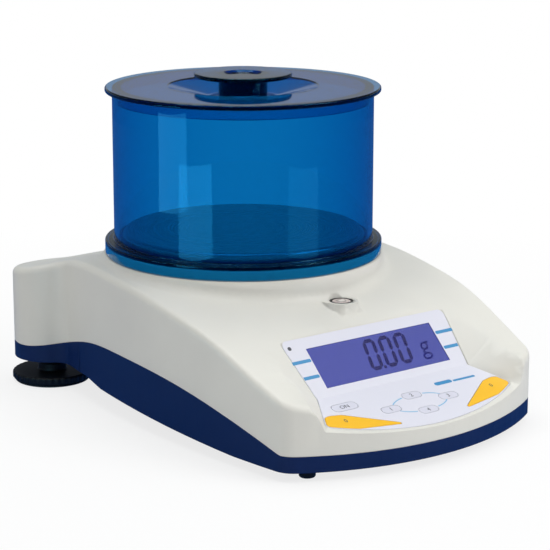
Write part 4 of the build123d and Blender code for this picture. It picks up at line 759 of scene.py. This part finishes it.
for word, side in (("left", -1), ("right", 1)):
    x = data_x + side * 12.5 * MM
    flange_y = data_high.y - 5.0 * MM
    prism_y(f"data_post_{word}", round_outline(x, port_z, 2.7 * MM, 6, math.pi / 6), flange_y + 0.02 * MM,
            flange_y + 4.6 * MM, zinc_steel)
    prism_y(f"data_post_{word}_bore", round_outline(x, port_z, 1.4 * MM), flange_y + 3.0 * MM, flange_y + 4.65 * MM,
            black_abs)

# ---------------------------------------------------------------- underside
# The battery cover and the rubber bung over the hook's hole, both flush in the navy tray.
smooth_copy("battery_cover", "battery_lid", navy_abs)
smooth_copy("weigh_below_plug", "hook_bung", rubber)

# ---------------------------------------------------------------- what is inside
# Boards of glass epoxy under green solder mask, the aluminium weighing cell on its plate, a
# cast support for the pan, zinc-plated screws, and the battery in its shrink sleeve.
circuit_board = moulded_plastic("solder_mask_green", "#1B5A34", 0.35, 1.2 * MM, 0.02 * MM)
diffuser = moulded_plastic("light_guide_white", "#E6EAEE", 0.3, 0.6 * MM, 0.01 * MM)
battery_sleeve = moulded_plastic("shrink_sleeve_blue", "#27477F", 0.3, 0.8 * MM, 0.01 * MM)
milled_aluminium = plated_metal("aluminium_milled", "#C8CACC", 0.3, 0.5 * MM)
cast_aluminium = plated_metal("aluminium_die_cast", "#ABADB0", 0.5, 0.8 * MM)
INSIDE = {
    "lcd_backlight": diffuser, "display_board": circuit_board, "keypad_board": circuit_board,
    "main_board": circuit_board, "base_plate": milled_aluminium, "cell_mount_block": milled_aluminium,
    "load_cell": milled_aluminium, "pan_support": cast_aluminium, "battery_pack": battery_sleeve,
    "display_board_screws": zinc_steel, "keypad_board_screws": zinc_steel, "base_plate_screws": zinc_steel,
    "cell_screws": zinc_steel, "pan_support_screws": zinc_steel, "overload_stops": zinc_steel,
    "housing_screws": zinc_steel, "main_board_screws": zinc_steel, "battery_cover_screws": zinc_steel,
}
for node, material in INSIDE.items():
    dress(node, material)

# ---------------------------------------------------------------- bench and room
# A white bench under a white room: the bench keeps a faint shadow near the feet, then glows
# as white as the room behind it.  Blue flags stand low and dark ones high, so gloss mirrors
# deep blue from below, a pale wall at eye level, and little from above.
bench_paint, bench_tree, bench_shader = start_material("bench_white_paint", "#F7F7F7", 0.6)
bench_place = add_node(bench_tree, "ShaderNodeTexCoord").outputs["Object"]
bench_far = add_node(bench_tree, "ShaderNodeVectorMath", links={0: bench_place}, operation="LENGTH")
bench_fade = add_node(bench_tree, "ShaderNodeMapRange",
                      {"From Min": 0.12, "From Max": 0.42, "To Min": 0.78, "To Max": 1.0},
                      {"Value": bench_far.outputs["Value"]})
bench_rays = add_node(bench_tree, "ShaderNodeLightPath")
bench_seen = add_node(bench_tree, "ShaderNodeMath", links={0: bench_rays.outputs["Is Camera Ray"],
                                                           1: bench_rays.outputs["Is Transmission Ray"]},
                      operation="MAXIMUM")
bench_mix = add_node(bench_tree, "ShaderNodeMath", links={0: bench_seen.outputs["Value"],
                                                          1: bench_fade.outputs["Result"]}, operation="MULTIPLY")
bench_glow = add_node(bench_tree, "ShaderNodeEmission", {"Color": (1, 1, 1, 1), "Strength": 1.0})
bench_mirrored = add_node(bench_tree, "ShaderNodeEmission", {"Color": (0.03, 0.12, 0.38, 1), "Strength": 1.0})
bench_gloss = add_node(bench_tree, "ShaderNodeMixShader",
                       links={"Fac": bench_rays.outputs["Is Glossy Ray"], 1: bench_shader.outputs["BSDF"],
                              2: bench_mirrored.outputs["Emission"]})
bench_blend = add_node(bench_tree, "ShaderNodeMixShader",
                       links={"Fac": bench_mix.outputs["Value"], 1: bench_gloss.outputs["Shader"],
                              2: bench_glow.outputs["Emission"]})
bench_tree.links.new(bench_blend.outputs["Shader"], bench_tree.nodes["Material Output"].inputs["Surface"])
rim = np.linspace(0, 2 * math.pi, 96, endpoint=False)
bench_mesh = bpy.data.meshes.new("bench")
bench_mesh.from_pydata(np.stack([0.9 * np.cos(rim), 0.9 * np.sin(rim), 0 * rim - 0.02 * MM], axis=-1).tolist(), [],
                       [list(range(96))])
bench_mesh.materials.append(bench_paint)
bench = bpy.data.objects.new("bench", bench_mesh)
bpy.context.scene.collection.objects.link(bench)

room = bpy.data.worlds.new("white_room")
bpy.context.scene.world = room
room.use_nodes = True
tree = room.node_tree
tree.nodes.clear()
direction = add_node(tree, "ShaderNodeTexCoord").outputs["Generated"]
height = add_node(tree, "ShaderNodeSeparateXYZ", links={"Vector": direction}).outputs["Z"]
level = add_node(tree, "ShaderNodeMapRange", {"From Min": 0.02, "From Max": 0.22, "To Min": 0.16, "To Max": 0.45},
                 {"Value": height}, interpolation_type="SMOOTHSTEP")
walls = add_node(tree, "ShaderNodeBackground", {"Color": (1, 1, 1, 1)}, {"Strength": level.outputs["Result"]})
seen = add_node(tree, "ShaderNodeBackground", {"Color": (1, 1, 1, 1), "Strength": 1.0})
flags = add_node(tree, "ShaderNodeValToRGB", links={"Fac": height})
flags.color_ramp.interpolation = "EASE"
for place, shade in ((0.0, (0.02, 0.10, 0.35)), (0.12, (0.34, 0.37, 0.40)), (0.17, (0.38, 0.41, 0.43)),
                     (0.27, (0.10, 0.12, 0.16))):
    stop = flags.color_ramp.elements.new(place)
    stop.color = (*shade, 1.0)
flags.color_ramp.elements.remove(flags.color_ramp.elements[0])
flags.color_ramp.elements[-1].color = (0.10, 0.12, 0.16, 1.0)
mirrored = add_node(tree, "ShaderNodeBackground", links={"Color": flags.outputs["Color"]})
rays = add_node(tree, "ShaderNodeLightPath")
lit = add_node(tree, "ShaderNodeMixShader", links={"Fac": rays.outputs["Is Glossy Ray"],
                                                   1: walls.outputs["Background"], 2: mirrored.outputs["Background"]})
plain = add_node(tree, "ShaderNodeMath", links={0: rays.outputs["Is Camera Ray"],
                                                1: rays.outputs["Is Transmission Ray"]}, operation="MAXIMUM")
both = add_node(tree, "ShaderNodeMixShader", links={"Fac": plain.outputs["Value"], 1: lit.outputs["Shader"],
                                                    2: seen.outputs["Background"]})
add_node(tree, "ShaderNodeOutputWorld", links={"Surface": both.outputs["Shader"]})


def softbox(name, place, target, size, power, colour=(1, 1, 1), only_gloss=False):
    """A rectangular lamp that faces its target and is never seen itself."""
    lamp = bpy.data.lights.new(name, "AREA")
    lamp.shape, lamp.size, lamp.size_y = "RECTANGLE", *size
    lamp.energy, lamp.color = power, colour
    made = bpy.data.objects.new(name, lamp)
    bpy.context.scene.collection.objects.link(made)
    made.location = place
    made.rotation_euler = (Vector(target) - Vector(place)).to_track_quat("-Z", "Y").to_euler()
    made.visible_camera = False
    made.visible_diffuse = made.visible_transmission = not only_gloss
    return made


softbox("key_softbox", (0.55, -0.85, 0.9), (0, 0, 0.05), (0.7, 0.7), 6.5)
softbox("top_softbox", (0.0, 0.15, 1.15), (0, 0, 0.05), (0.9, 0.9), 6.6, colour=(0.96, 1.0, 1.0))

EYE = Vector((-0.60923, -0.76518, 0.29859))
STRIP_DISTANCE = 0.2
facing = math.atan2(EYE.x - shield_middle[0], shield_middle[1] - EYE.y)


def mirrored_place(turn, level):
    """Point on the cylinder at a turn from the eye's side, and the place it mirrors: v - 2 (v.n) n."""
    normal = Vector((math.sin(facing + turn), -math.cos(facing + turn), 0))
    skin = Vector((*shield_middle, level)) + normal * SHIELD_RADIUS
    ray = (skin - EYE).normalized()
    bounced = ray - 2 * ray.dot(normal) * normal
    return skin, skin + bounced * STRIP_DISTANCE


# Three strip lamps, each as wide and high as the pale band that it draws on the cylinder.
for name, turns, levels, glow in (("upper_strip", (-38, -24), (103, 149), 3.0),
                                  ("lower_strip", (-28, -13), (82, 126), 3.2),
                                  ("faint_strip", (19, 33), (82, 124), 1.1)):
    corners = [mirrored_place(math.radians(turn), level * MM) for turn in turns for level in levels]
    skin = sum((c[0] for c in corners), Vector()) / 4
    lamp_place = sum((c[1] for c in corners), Vector()) / 4
    width = ((corners[2][1] + corners[3][1]) / 2 - (corners[0][1] + corners[1][1]) / 2).length
    tall = (corners[1][1] - corners[0][1]).length
    softbox(name, lamp_place, skin, (width, tall), glow * math.pi * width * tall, (0.25, 0.75, 1.0), only_gloss=True)

# ---------------------------------------------------------------- camera
# A long lens from the front left, a little above the lid, as a catalogue picture is taken.
# It looks 13.5 degrees down; its small shift centres the balance in the frame.
camera = bpy.data.objects.new("camera", bpy.data.cameras.new("camera"))
bpy.context.scene.collection.objects.link(camera)
camera.data.lens, camera.data.sensor_width = 134.76, 36.0
camera.data.shift_x = 0.00975
camera.data.clip_start, camera.data.clip_end = 0.05, 20.0
camera.location = EYE
camera.rotation_euler = Euler((math.pi / 2 - 0.2358, 0.0, -0.6689))
bpy.context.scene.camera = camera
bpy.context.scene.view_settings.view_transform = "Standard"
